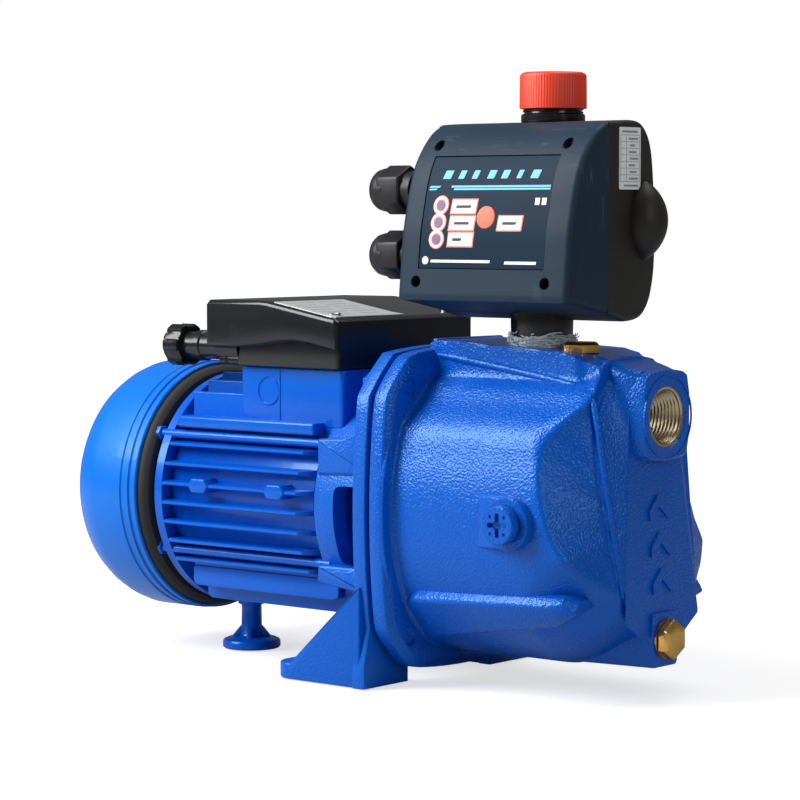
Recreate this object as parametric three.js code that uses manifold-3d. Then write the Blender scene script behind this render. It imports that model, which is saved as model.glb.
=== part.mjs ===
// A shallow well jet pump: a cast casing with a built-in ejector, a finned motor behind it,
// and an electronic flow controller screwed into the delivery port.
// Millimetres, +X towards the suction port, +Z up, Y = 0 on the plane of symmetry.
import * as THREE from "three";
import { mergeVertices } from "three/addons/utils/BufferGeometryUtils.js";
import Module from "manifold-3d";

const wasm = await Module();
wasm.setup();

// ---------------------------------------------------------------- driving dimensions
const shaftHeight = 99; // shaft axis above the floor
const footReach = 156; // rear foot's centre behind the bracket's front face
const gap = 0.4; // clearance left between pieces that rest on each other

const bracket = { plate: 9, ringBack: -50, ringFront: -33, ringR: 70, wallR: 58, bearingR: 17.6 };
const foot = { halfWidth: 77, pad: 38.8, length: 70.5, thick: 9, slotR: 5.5, slotLength: 20 };
const flange = { sideY: 72.5, sideZ: 65, topY: 50.5, topZ: 88.5, bow: 0.033, back: 2.9, front: 15 };
const bolt = { y: 54.5, z: 70.5, shank: 3.9, head: 13, headThick: 5.3 };

const drum = { halfWidth: 70.5, halfHeight: 82.5, power: 2.2, front: 107, cavityR: 60, cavityFront: 103 };
const nose = { panelX: 144.3, tilt: 0.065, top: 180, bottom: 34, wideAt40: 36, taper: 0.118 };
const ridge = { halfWidth: 30, backTop: 194.5, frontTop: 187, front: 122, low: 150 };
const suction = { z: 155.6, face: 150.7, halfWidth: 23, low: 131.7, high: 181.5, bore: 15 };
const delivery = { x: 67, y: -2, bore: 15.3, top: 190.5 };
const drain = { z: 34.5, face: 150, halfWidth: 12, low: 19, bore: 6.4 };
const filler = { x: 97.5, z: 99.6, face: -75.5, bore: 6.4 };
const priming = { x: 99, y: -9, z: 187.2, bore: 6.4 };

const frame = { back: -164, front: -50.8, shellR: 62, boreR: 52, finR: 71.6, pitch: 11.5, fin: 2.3 };
const finTopZ = 140.4; // height of the uppermost side fin
const rod = { y: 58, high: 134.6, low: 65.6, radius: 2.6 };
const fanCover = { rim: -180.7, radius: 76.6, back: -245.6, wall: 2.2 };
const pedestal = { back: -116.5, front: -36.6, halfWidth: 52, low: 146, top: 176.5 };
const box = { back: -115, front: -36, halfWidth: 57, low: 177, top: 199, wall: 3 };
const lid = { back: -135, front: -33, halfWidth: 62.5, skirt: 187.5, high: 215.3, low: 206.5, wall: 2.5 };
const motorGland = { y: -48, z: 187.5, tip: -174 };

const housing = { left: 9, right: 126.3, seam: -21.5, wall: 3, middle: 66.5 };
const stem = { x: 67, y: -2, radius: 17.3, thread: 14.9, low: 177, bore: 11.5 };
const outlet = { x: 70.5, y: 3, collarZ: 317, neckZ: 321, top: 339, neckR: 16.4, bore: 12 };
const capSize = { radius: 18.4, low: 323.8, top: 344.6, wall: 1.6 };
const panel = { width: 85.5, height: 61, centreZ: 266.5, thick: 1.2 };
const glandSize = { y: -40, highZ: 279, lowZ: 242.5, tip: -19.7 };
const coverScrew = { spread: 44.3, lowZ: 228.3, highZ: 303.5 };

// ---------------------------------------------------------------- materials
const finish = (color, roughness, metalness) =>
  new THREE.MeshStandardMaterial({ color, roughness, metalness });
const castingBlue = finish(0x0b57c8, 0.35, 0.1);
const motorBlue = finish(0x0a50c4, 0.3, 0.1);
const glossBlack = finish(0x14171b, 0.25, 0.0);
const slatePlastic = finish(0x27344a, 0.6, 0.0);
const brownBlack = finish(0x2e2b29, 0.6, 0.0);
const redPlastic = finish(0xe8341c, 0.45, 0.0);
const buttonRed = finish(0xe8593a, 0.5, 0.0);
const brass = finish(0xc79a3c, 0.3, 1.0);
const steel = finish(0xa9adb3, 0.35, 1.0);
const laminations = finish(0x6e7075, 0.5, 0.8);
const copper = finish(0xb4673a, 0.4, 0.9);
const blackRubber = finish(0x1a1a1a, 0.8, 0.0);
const noryl = finish(0x3a3d40, 0.5, 0.0);
const boardGreen = finish(0x1f6b3a, 0.6, 0.0);
const panelBlue = finish(0x12304f, 0.4, 0.0);
const fibre = finish(0x4a4f55, 0.9, 0.0);

// ---------------------------------------------------------------- shape helpers
const unit = { x: new THREE.Vector3(1, 0, 0), y: new THREE.Vector3(0, 1, 0), z: new THREE.Vector3(0, 0, 1) };
const down = unit.y.clone().negate();

// Turns a lathe (drawn round its own Y) so that its height runs along an axis.
const lathed = {
  x: new THREE.Matrix4().makeRotationZ(-Math.PI / 2),
  y: new THREE.Matrix4(),
  z: new THREE.Matrix4().makeRotationX(Math.PI / 2),
};
// Turns an extrusion (drawn in its own X-Y, deep along its own Z) so that it runs along an axis.
const extruded = {
  x: new THREE.Matrix4().makeBasis(unit.y, unit.z, unit.x),
  y: new THREE.Matrix4().makeBasis(unit.x, unit.z, down),
  z: new THREE.Matrix4(),
};

const bar = (x0, x1, y0, y1, z0, z1) =>
  new THREE.BoxGeometry(x1 - x0, y1 - y0, z1 - z0).translate((x0 + x1) / 2, (y0 + y1) / 2, (z0 + z1) / 2);

// A solid of revolution: pairs of radius and height, outwards and upwards first.
function turned(axis, profile, sides = 20) {
  const points = profile.map(([r, h]) => new THREE.Vector2(r, h));
  return new THREE.LatheGeometry(points, sides).applyMatrix4(lathed[axis]);
}

const round = (axis, r, from, to, sides = 16) =>
  turned(axis, [[0, from], [r, from], [r, to], [0, to]], sides);

const hoop = (axis, inner, outer, from, to, sides = 20) =>
  turned(axis, [[inner, from], [outer, from], [outer, to], [inner, to], [inner, from]], sides);

const hexagon = (axis, acrossFlats, from, to) => round(axis, acrossFlats / Math.sqrt(3), from, to, 6);

// An outline of corner pairs, extruded along an axis between two positions.
function prism(axis, corners, from, to, holes = []) {
  const shape = new THREE.Shape(corners.map(([a, b]) => new THREE.Vector2(a, b)));
  shape.holes = holes.map((hole) => new THREE.Path(hole.map(([a, b]) => new THREE.Vector2(a, b))));
  const geometry = new THREE.ExtrudeGeometry(shape, { depth: to - from, bevelEnabled: false });
  geometry.applyMatrix4(extruded[axis]);
  const start = axis === "y" ? down.clone().multiplyScalar(-to) : unit[axis].clone().multiplyScalar(from);
  return geometry.translate(start.x, start.y, start.z);
}

// A closed skin through rings of equal point count, each ring counter-clockwise seen from +X.
function loft(rings) {
  const count = rings[0].length;
  const positions = rings.flat().flatMap((p) => [p.x, p.y, p.z]);
  const index = [];
  for (let r = 0; r < rings.length - 1; r += 1) {
    for (let i = 0; i < count; i += 1) {
      const a = r * count + i;
      const b = r * count + ((i + 1) % count);
      index.push(a, b, b + count, a, b + count, a + count);
    }
  }
  const cap = (ring, base, flip) => {
    const flat = ring.map((p) => new THREE.Vector2(p.y, p.z));
    for (const [a, b, c] of THREE.ShapeUtils.triangulateShape(flat, [])) {
      index.push(base + a, base + (flip ? c : b), base + (flip ? b : c));
    }
  };
  cap(rings[0], 0, true);
  cap(rings.at(-1), (rings.length - 1) * count, false);
  const geometry = new THREE.BufferGeometry();
  geometry.setAttribute("position", new THREE.Float32BufferAttribute(positions, 3));
  geometry.setIndex(index);
  return geometry;
}

// The same corners with each side bowed outwards by a share of its length.
function bowed(corners, bow, steps = 3) {
  return corners.flatMap(([ay, az], i) => {
    const [by, bz] = corners[(i + 1) % corners.length];
    return Array.from({ length: steps }, (_, k) => {
      const t = k / steps;
      const swell = 4 * t * (1 - t) * bow;
      return [ay + (by - ay) * t + (bz - az) * swell, az + (bz - az) * t - (by - ay) * swell];
    });
  });
}

function toManifold(geometry) {
  const bare = geometry.clone();
  bare.deleteAttribute("normal");
  bare.deleteAttribute("uv");
  const merged = mergeVertices(bare, 1e-4);
  const index = merged.index.array;
  const kept = [];
  for (let i = 0; i < index.length; i += 3) {
    const [a, b, c] = [index[i], index[i + 1], index[i + 2]];
    if (a !== b && b !== c && c !== a) kept.push(a, b, c);
  }
  const data = {
    numProp: 3,
    vertProperties: new Float32Array(merged.attributes.position.array),
    triVerts: new Uint32Array(kept),
  };
  return new wasm.Manifold(new wasm.Mesh(data));
}

function fromManifold(body) {
  const mesh = body.getMesh();
  const geometry = new THREE.BufferGeometry();
  geometry.setAttribute("position", new THREE.BufferAttribute(mesh.vertProperties, 3));
  geometry.setIndex(new THREE.BufferAttribute(mesh.triVerts, 1));
  geometry.computeVertexNormals();
  return geometry;
}

const join = (...shapes) => fromManifold(shapes.map(toManifold).reduce((a, b) => a.add(b)));
const cut = (shape, ...tools) =>
  fromManifold(tools.map(toManifold).reduce((a, b) => a.subtract(b), toManifold(shape)));
const overlap = (a, b) => fromManifold(toManifold(a).intersect(toManifold(b)));

const moved = (geometry, x, y, z) => geometry.clone().translate(x, y, z);
const bothSides = [-1, 1];
const fourCorners = bothSides.flatMap((sy) => bothSides.map((sz) => [sy, sz]));

// ---------------------------------------------------------------- assembly tree
const assembly = new THREE.Group(); // origin: centre of the rear foot's underside
const pump = new THREE.Group(); // origin: bracket's front face, on the floor
const onShaft = new THREE.Group(); // origin: bracket's front face, on the shaft axis
pump.position.x = footReach;
onShaft.position.z = shaftHeight;
pump.add(onShaft);
assembly.add(pump);

function add(group, name, geometry, material, x = 0, y = 0, z = 0) {
  const mesh = new THREE.Mesh(geometry, material);
  mesh.name = name;
  mesh.position.set(x, y, z);
  group.add(mesh);
  return mesh;
}

// ---------------------------------------------------------------- pump casing
const flangeCorners = [
  [-flange.topY, -flange.topZ], [flange.topY, -flange.topZ],
  [flange.sideY, -flange.sideZ], [flange.sideY, flange.sideZ],
  [flange.topY, flange.topZ], [-flange.topY, flange.topZ],
  [-flange.sideY, flange.sideZ], [-flange.sideY, -flange.sideZ],
].map(([y, z]) => [y, z + shaftHeight]);

// A rounded oblong across the shaft; halfWidth and x may depend on height.
function oblong(xAt, halfWidthAt, low, high, power, count = 28) {
  const soft = (v) => Math.sign(v) * Math.abs(v) ** (2 / power);
  return Array.from({ length: count }, (_, i) => {
    const t = (2 * Math.PI * (i + 0.5)) / count;
    const z = (low + high) / 2 + ((high - low) / 2) * soft(Math.sin(t));
    return new THREE.Vector3(xAt(z), halfWidthAt(z) * soft(Math.cos(t)), z);
  });
}

const panelX = (z) => nose.panelX + nose.tilt * (105 - z);
const panelHalf = (z) => nose.wideAt40 - nose.taper * (z - 40);

function casingShell() {
  const drumRing = (x, side, tall, power) =>
    oblong(() => x, () => side, shaftHeight - tall, shaftHeight + tall, power);
  return loft([
    drumRing(flange.back + 2, drum.halfWidth, drum.halfHeight, drum.power),
    drumRing(drum.front, drum.halfWidth, drum.halfHeight - 1, drum.power),
    drumRing(drum.front + 8, drum.halfWidth - 3.5, drum.halfHeight - 3, 2.35),
    oblong((z) => panelX(z) - 11.5, (z) => panelHalf(z) + 12, nose.bottom - 3, nose.top + 2, 3.2),
    oblong((z) => panelX(z) - 1.5, (z) => panelHalf(z) + 0.8, nose.bottom, nose.top, 5),
    oblong(panelX, (z) => panelHalf(z) - 0.8, nose.bottom + 1.5, nose.top - 1.5, 5),
  ]);
}

function ridgeBlock() {
  const frontHalf = suction.halfWidth - 1;
  const ring = (x, half, top) =>
    [[-half, ridge.low], [half, ridge.low], [half, top - 2], [half - 2, top], [-half + 2, top], [-half, top - 2]]
      .map(([y, z]) => new THREE.Vector3(x, y, z));
  return loft([
    ring(flange.back, ridge.halfWidth - 4, ridge.backTop),
    ring(flange.front + 4, ridge.halfWidth, ridge.backTop - 0.8),
    ring(110, ridge.halfWidth, ridge.frontTop),
    ring(ridge.front, frontHalf, suction.high + 3),
    ring(134, frontHalf, suction.high),
  ]);
}

// A square boss whose top and bottom edges are arched.
function suctionBoss() {
  const across = Array.from({ length: 9 }, (_, i) => suction.halfWidth * (i / 4 - 1));
  const arch = (y) => (y / suction.halfWidth) ** 2;
  const below = across.map((y) => [y, suction.low + 3 * arch(y)]);
  const above = [...across].reverse().map((y) => [y, suction.high - 3.5 * arch(y)]);
  return prism("x", [...below, ...above], 112, suction.face);
}

function pumpCasing() {
  const keel = bar(62, drain.face, -drain.halfWidth, drain.halfWidth, drain.low, drain.z + 14);
  const fillerBoss = moved(hoop("y", 2, 14, filler.face, -52, 24), filler.x, 0, filler.z);
  const bottomRib = bar(20, 118, -58, 58, 33, 52);
  const outside = join(
    prism("x", bowed(flangeCorners, flange.bow), flange.back, flange.front),
    casingShell(), ridgeBlock(), suctionBoss(), keel, fillerBoss, bottomRib,
  );
  const waterSpaces = [
    moved(round("x", drum.cavityR, -5, drum.cavityFront, 28), 0, 0, shaftHeight),
    moved(round("x", 17, 90, 134), 0, 0, shaftHeight),
    moved(round("z", 9, shaftHeight, suction.z), 121, 0, 0),
    moved(round("x", suction.bore, 114, 160), 0, 0, suction.z),
    moved(round("z", delivery.bore, 140, 210), delivery.x, delivery.y, 0),
    moved(round("x", drain.bore, 92, 160, 14), 0, 0, drain.z),
    moved(round("y", filler.bore, -90, -50, 14), filler.x, 0, filler.z),
    moved(round("z", priming.bore, 150, 200, 14), priming.x, priming.y, 0),
  ];
  const spotFaces = [
    moved(round("z", 20, delivery.top, 210), delivery.x, delivery.y, 0),
    moved(round("z", 13, priming.z, 200, 18), priming.x, priming.y, 0),
  ];
  const boltHoles = fourCorners.map(([sy, sz]) =>
    moved(round("x", bolt.shank + gap, -5, 20, 10), 0, sy * bolt.y, shaftHeight + sz * bolt.z));
  return cut(outside, ...waterSpaces, ...spotFaces, ...boltHoles);
}

add(pump, "pump_casing", pumpCasing(), castingBlue);

// ---------------------------------------------------------------- ejector, diffuser and seal
function casingGasket() {
  const inset = (v, by) => v - Math.sign(v) * by;
  const outer = flangeCorners.map(([y, z]) => [inset(y, 3), shaftHeight + inset(z - shaftHeight, 3)]);
  const sheet = prism("x", bowed(outer, flange.bow), gap, flange.back - gap);
  const holes = fourCorners.map(([sy, sz]) =>
    moved(round("x", bolt.shank + gap, -5, 20, 10), 0, sy * bolt.y, shaftHeight + sz * bolt.z));
  return cut(sheet, moved(round("x", 66, -5, 10, 48), 0, 0, shaftHeight), ...holes);
}

const nozzle = () => turned("x", [[3.4, 113], [6.2, 113], [7, 115], [11, 126], [16.6, 127], [16.6, 133.5],
  [9, 133.5], [5, 124], [3.4, 116], [3.4, 113]]);
const venturi = () => turned("x", [[9.5, 46], [12.1, 46], [12.1, 104.5], [16.6, 104.5], [16.6, 110.5],
  [10, 110.5], [6.4, 100], [6.4, 86], [9.5, 46]]);
const diffuser = () => turned("x", [[12.5, 44], [55.5, 44], [55.5, 24], [58.6, 24], [58.6, 50],
  [18, 50], [18, 62], [12.5, 62], [12.5, 44]], 20);
const sealSeat = () => hoop("x", 7.9, 15.6, -8.5, 1.4);
const mechanicalSeal = () => turned("x", [[7.4, 1.8], [12, 1.8], [12, 6], [13.5, 6], [13.5, 12], [11.5, 14],
  [11.5, 20], [7.4, 20], [7.4, 1.8]], 16);
const impeller = () => turned("x", [[6.9, 20.6], [12, 20.6], [12, 24], [54, 25.5], [54, 31.5], [16, 37],
  [16, 41], [13.5, 41], [13.5, 30], [6.9, 30], [6.9, 20.6]], 20);

add(pump, "casing_gasket", casingGasket(), fibre);
add(onShaft, "ejector_nozzle", nozzle(), brass);
add(onShaft, "venturi_tube", venturi(), noryl);
add(onShaft, "diffuser", diffuser(), noryl);
add(onShaft, "seal_seat", sealSeat(), fibre);
add(onShaft, "mechanical_seal", mechanicalSeal(), steel);
add(onShaft, "impeller", impeller(), noryl);
add(onShaft, "impeller_nut", cut(hexagon("x", 11, 30.4, 35), round("x", 5.3, 20, 50, 12)), brass);

// ---------------------------------------------------------------- motor bracket with its two feet
function bracketPlate() {
  const inner = foot.halfWidth - foot.pad;
  const top = bowed(flangeCorners.slice(2, 7), flange.bow).slice(0, 12);
  const feet = [[-foot.halfWidth, 0], [-inner, 0], [-inner, 13], [inner, 13], [inner, 0], [foot.halfWidth, 0]];
  const lower = flangeCorners[2];
  return prism("x", [...feet, lower, ...top.slice(1), flangeCorners[6], flangeCorners[7]], -bracket.plate, 0);
}

function bracketFoot() {
  const inner = foot.halfWidth - foot.pad;
  const pad = prism("z", [
    [-1, inner], [-1, foot.halfWidth], [-foot.length + 9, foot.halfWidth],
    [-foot.length, foot.halfWidth - 9], [-foot.length, inner + 9], [-foot.length + 9, inner],
  ], 0, foot.thick);
  const gusset = prism("y", [[-1, foot.thick - 1], [-1, 62], [-bracket.plate, 56], [-foot.length + 14, foot.thick - 1]],
    foot.halfWidth - 8, foot.halfWidth);
  const reach = foot.slotLength / 2 - foot.slotR;
  const slot = bothSides.map((s) => moved(round("z", foot.slotR, -5, 20, 12), -38 + s * reach, 56, 0));
  const middle = bar(-38 - reach, -38 + reach, 56 - foot.slotR, 56 + foot.slotR, -5, 20);
  return cut(join(pad, gusset), ...slot, middle);
}

function motorBracket() {
  const footShape = bracketFoot();
  const lantern = moved(hoop("x", bracket.wallR, bracket.ringR, bracket.ringBack, -1, 28), 0, 0, shaftHeight);
  const endWall = moved(hoop("x", bracket.bearingR, bracket.wallR + 1, bracket.ringBack, -39, 28), 0, 0, shaftHeight);
  const body = join(bracketPlate(), lantern, endWall, footShape, mirrored(footShape));
  const windows = bar(-31, -11, -90, 90, 66, 112);
  const drainSlot = bar(-29, -13, -30, 30, 20, 48);
  const sealBore = moved(round("x", 16, -20, 5), 0, 0, shaftHeight);
  const boltHoles = fourCorners.map(([sy, sz]) =>
    moved(round("x", bolt.shank + gap, -20, 5, 10), 0, sy * bolt.y, shaftHeight + sz * bolt.z));
  const heads = fourCorners.map(([sy, sz]) =>
    moved(round("x", 9.5, -30, -bracket.plate, 10), 0, sy * (bolt.y + 3), shaftHeight + sz * (bolt.z + 3)));
  const rodHoles = bothSides.flatMap((s) => [rod.high, rod.low].map((z) =>
    moved(round("x", rod.radius + gap, -55, -38, 8), 0, s * rod.y, z)));
  return cut(body, windows, drainSlot, sealBore, ...boltHoles, ...heads, ...rodHoles);
}

function flangeBolt() {
  const head = hexagon("x", bolt.head, -bracket.plate - gap - bolt.headThick, -bracket.plate - gap);
  return join(head, round("x", bolt.shank, -bracket.plate - 2, flange.front + 0.5, 10));
}

add(pump, "motor_bracket", motorBracket(), castingBlue);
const boltShape = flangeBolt();
fourCorners.forEach(([sy, sz], i) => {
  add(onShaft, `flange_bolt_${i + 1}`, boltShape, steel, 0, sy * bolt.y, sz * bolt.z);
});

// ---------------------------------------------------------------- motor
function motorFrame() {
  const shell = moved(hoop("x", frame.boreR, frame.shellR, frame.back, frame.front, 28), 0, 0, shaftHeight);
  const sideFins = Array.from({ length: 8 }, (_, k) => {
    const z = finTopZ - k * frame.pitch;
    const tip = Math.sqrt(frame.finR ** 2 - (z - shaftHeight) ** 2);
    const blade = prism("z", [
      [frame.back, -40], [frame.back, -tip + 4], [frame.back + 2, -tip], [frame.front - 12, -tip],
      [frame.front, -tip + 9], [frame.front, -40],
    ], z - frame.fin / 2, z + frame.fin / 2);
    return [blade, mirrored(blade)];
  }).flat();
  const uprights = [26, 38, 50].flatMap((y) => bothSides.map((s) => {
    const reach = Math.sqrt((frame.finR + 2) ** 2 - y * y);
    const low = shaftHeight - Math.min(reach, 68);
    return bar(frame.back + 9, frame.front - 1, s * y - 1.4, s * y + 1.4, low, shaftHeight + reach);
  }));
  const shoulders = bothSides.map((s) =>
    bar(frame.back + 6, frame.front, s * 58 - 6, s * 58 + 1, finTopZ - 1, finTopZ + 5));
  const lugs = [-133, -73].flatMap((x) => bothSides.map((s) => {
    const hex = [[-7.5, 0], [-4.5, 4.2], [4.5, 4.2], [7.5, 0], [4.5, -4.2], [-4.5, -4.2]];
    const outline = hex.map(([a, b]) => [x + a, finTopZ - 3 * frame.pitch + b]);
    return prism("y", outline, s < 0 ? -frame.finR - 0.6 : 58, s < 0 ? -58 : frame.finR + 0.6);
  }));
  const block = bar(pedestal.back, pedestal.front, -pedestal.halfWidth, pedestal.halfWidth,
    pedestal.low - 3, pedestal.top);
  const footBoss = moved(round("z", 8, 33, 42, 16), -footReach, 0, 0);
  const footPad = bar(frame.back, frame.back + 22, -16, 16, 33, 44);
  const solid = join(shell, ...sideFins, ...uprights, ...shoulders, ...lugs, block, footBoss, footPad);
  const boreTool = moved(round("x", frame.boreR, frame.back - 1, frame.front + 1, 28), 0, 0, shaftHeight);
  const ringTool = moved(round("x", bracket.ringR + 0.6, frame.front, 10, 28), 0, 0, shaftHeight);
  const cableWay = bar(-100, -60, -18, 18, 140, 200);
  const rodWays = bothSides.flatMap((s) => [rod.high, rod.low].map((z) =>
    moved(round("x", rod.radius + gap, -200, 0, 8), 0, s * rod.y, z)));
  return cut(solid, boreTool, ringTool, cableWay, ...rodWays);
}

// A copy on the other side of the plane of symmetry, its faces still pointing outwards.
function mirrored(geometry) {
  const copy = geometry.clone().scale(1, -1, 1);
  const merged = mergeVertices(copy.deleteAttribute("normal").deleteAttribute("uv"), 1e-4);
  merged.setIndex([...merged.index.array].reverse());
  return merged;
}

function statorCore() {
  const slots = Array.from({ length: 12 }, (_, i) => {
    const a = (i * Math.PI) / 6;
    const corner = (r, w) => [r * Math.cos(a) - w * Math.sin(a), r * Math.sin(a) + w * Math.cos(a)];
    return [corner(37.5, 3), corner(46.5, 3), corner(46.5, -3), corner(37.5, -3)];
  });
  const circle = (r) => Array.from({ length: 24 }, (_, i) =>
    [r * Math.cos((i * Math.PI) / 12), r * Math.sin((i * Math.PI) / 12)]);
  return prism("x", circle(51.6), -145, -78, [circle(32.4), ...slots]);
}

function statorWinding() {
  const bars = Array.from({ length: 12 }, (_, i) =>
    bar(-153, -70, 38, 46, -2.5, 2.5).rotateX((i * Math.PI) / 6));
  return join(hoop("x", 36, 48.5, -158, -145.5), hoop("x", 36, 48.5, -77.5, -65), ...bars);
}

const rotorCore = () => hoop("x", 8.5, 31.8, -145, -78, 24);
const motorShaft = () => turned("x", [[0, -216], [6, -216], [6, -182], [7.5, -182], [7.5, -150], [8.1, -150],
  [8.1, -72], [7.5, -72], [7.5, -34], [7, -34], [7, 20.3], [6.5, 20.3], [6.5, 30], [5, 30], [5, 38], [0, 38]], 16);
const ballBearing = (from, to) => turned("x", [[7.8, from], [10.5, from], [10.8, from + 1], [14.2, from + 1],
  [14.5, from], [17.3, from], [17.3, to], [14.5, to], [14.2, to - 1], [10.8, to - 1], [10.5, to], [7.8, to],
  [7.8, from]], 16);

function rearShield() {
  const plate = turned("x", [[17.6, -180], [22, -180], [24, -172], [70, -171], [70, -164.6], [17.6, -164.6],
    [17.6, -180]], 24);
  const slots = Array.from({ length: 8 }, (_, i) =>
    bar(-190, -150, 54, 64, -14, 14).rotateX(((i + 0.5) * Math.PI) / 4));
  const ears = bothSides.flatMap((s) => [rod.high, rod.low].map((z) =>
    moved(round("x", 6, -173, -164.6, 8), 0, s * rod.y, z - shaftHeight)));
  const holes = bothSides.flatMap((s) => [rod.high, rod.low].map((z) =>
    moved(round("x", rod.radius + gap, -190, -150, 8), 0, s * rod.y, z - shaftHeight)));
  return cut(join(cut(plate, ...slots), ...ears), ...holes);
}

const tieRod = () => join(round("x", rod.radius, -176, -40, 8), hexagon("x", 8, -177.5, -173.4));

function coolingFan() {
  const hub = hoop("x", 6.3, 12, -208, -190, 14);
  const disc = hoop("x", 10, 58, -194, -191.5, 20);
  const blades = Array.from({ length: 7 }, (_, i) =>
    bar(-209, -192.5, 10, 61, -1, 1).rotateX((i * 2 * Math.PI) / 7));
  return join(hub, disc, ...blades);
}

function fanCowl() {
  const r = fanCover.radius;
  const w = fanCover.wall;
  const shell = turned("x", [
    [0, fanCover.back], [50, fanCover.back], [64, fanCover.back + 6], [73, fanCover.back + 17],
    [r, fanCover.back + 32], [r, fanCover.rim], [r - w, fanCover.rim], [r - w, fanCover.back + 32.5],
    [73 - w, fanCover.back + 18], [64 - w, fanCover.back + 8], [49, fanCover.back + w],
    [0, fanCover.back + w],
  ], 28);
  const slots = Array.from({ length: 8 }, (_, i) =>
    bar(fanCover.back - 5, fanCover.back + 6, 20, 48, -3, 3).rotateX(((i + 0.5) * Math.PI) / 4));
  const screwLugs = fourCorners.map(([sy, sz]) => bar(-186, -181, 71.5, 75.2, -5, 5)
    .rotateX(Math.atan2(sz * 40, sy * 60)));
  return join(cut(shell, ...slots), ...screwLugs);
}

function supportFoot() {
  const stalk = turned("z", [[0, 0], [17, 0], [17.7, 1], [17.7, 4.5], [15, 6.2], [6.4, 7], [6.2, 26], [8.2, 27],
    [8.2, 32.6], [0, 32.6]], 20);
  const webs = [0, 1, 2, 3].map((i) =>
    prism("y", [[0, 5], [13, 5], [12, 8], [5, 17], [0, 17]], -1, 1).rotateZ((i * Math.PI) / 2));
  return join(stalk, ...webs);
}

add(pump, "motor_frame", motorFrame(), motorBlue);
add(onShaft, "stator_core", statorCore(), laminations);
add(onShaft, "stator_winding", statorWinding(), copper);
add(onShaft, "rotor_core", rotorCore(), laminations);
add(onShaft, "motor_shaft", motorShaft(), steel);
add(onShaft, "front_bearing", ballBearing(-49.5, -39), steel);
add(onShaft, "rear_bearing", ballBearing(-179.5, -168.5), steel);
add(onShaft, "rear_shield", rearShield(), motorBlue);
add(onShaft, "cooling_fan", coolingFan(), noryl);
add(onShaft, "fan_cover", fanCowl(), motorBlue);
const rodShape = tieRod();
bothSides.flatMap((s) => [rod.high, rod.low].map((z) => [s * rod.y, z - shaftHeight])).forEach(([y, z], i) => {
  add(onShaft, `tie_rod_${i + 1}`, rodShape, motorBlue, 0, y, z);
});
add(pump, "support_foot", supportFoot(), motorBlue, -footReach, 0, 0);

// ---------------------------------------------------------------- terminal box
function terminalBase() {
  const outer = bar(box.back, box.front, -box.halfWidth, box.halfWidth, box.low, box.top);
  const inner = bar(box.back + box.wall, box.front - box.wall, -box.halfWidth + box.wall,
    box.halfWidth - box.wall, box.low + box.wall, box.top + 5);
  const tailPlate = bar(-130, box.back + 2, -box.halfWidth, box.halfWidth, box.low + 1, box.low + 4);
  const posts = bothSides.flatMap((s) => [-124, -44].map((x) =>
    moved(round("z", 4.5, box.low + 1, 203, 8), x, s * (box.halfWidth - 6), 0)));
  const entry = moved(round("x", 10, -130, box.back + 1, 16), 0, motorGland.y, motorGland.z);
  const entryFoot = bar(-130, box.back + 1, motorGland.y - 8, motorGland.y + 12, box.low + 2, motorGland.z);
  const body = join(cut(outer, inner), tailPlate, ...posts, entry, entryFoot);
  const screwHoles = bothSides.flatMap((s) => [-124, -44].map((x) =>
    moved(round("z", 2.1, 188, 210, 8), x, s * (box.halfWidth - 6), 0)));
  const entryHole = moved(round("x", 6.6, -140, box.back + 5, 12), 0, motorGland.y, motorGland.z);
  const cableWay = bar(-95, -65, -14, 14, box.low - 5, box.low + 5);
  return cut(body, ...screwHoles, entryHole, cableWay);
}

function lidProfile(shrink) {
  return [
    [lid.back + shrink, lid.skirt - (shrink ? 5 : 0)], [lid.front - shrink, lid.skirt - (shrink ? 5 : 0)],
    [lid.front - shrink, lid.low - 3 - shrink], [lid.front - 6 - shrink * 0.3, lid.low - shrink],
    [-90, lid.high + 0.3 - shrink], [lid.back + 3 + shrink * 0.3, lid.high - shrink],
    [lid.back + shrink, lid.high - 3 - shrink],
  ];
}

function terminalLid() {
  const outer = prism("y", lidProfile(0), -lid.halfWidth, lid.halfWidth);
  const inner = prism("y", lidProfile(lid.wall), -lid.halfWidth + lid.wall, lid.halfWidth - lid.wall);
  const corners = bothSides.flatMap((s) => [-124, -44].map((x) => [x, s * (box.halfWidth - 6)]));
  const bosses = corners.map(([x, y]) => moved(round("z", 6, 203.4, 220, 8), x, y, 0));
  const body = join(cut(outer, inner), ...bosses.map((b) => overlap(b, outer)));
  const wells = corners.map(([x, y]) => moved(round("z", 4.2, 206.4, 225, 10), x, y, 0));
  const holes = corners.map(([x, y]) => moved(round("z", 2.4, 195, 225, 8), x, y, 0));
  const notch = bar(-140, lid.back + 6, motorGland.y - 11, motorGland.y + 14, 170, motorGland.z + 11);
  return cut(body, ...wells, ...holes, notch);
}

function glandBody(length, nutR, neckR, neck) {
  const nut = join(turned("x", [[0, 0], [nutR * 0.72, 0], [nutR * 0.84, 2], [nutR * 0.87, length * 0.3],
    [nutR * 0.87, length], [0, length]], 14), round("x", nutR, length * 0.25, length - 1, 6));
  const thread = round("x", neckR, length - 1, length + neck, 12);
  return cut(join(nut, thread), round("x", 5.2, -5, length - 4, 10));
}

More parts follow.
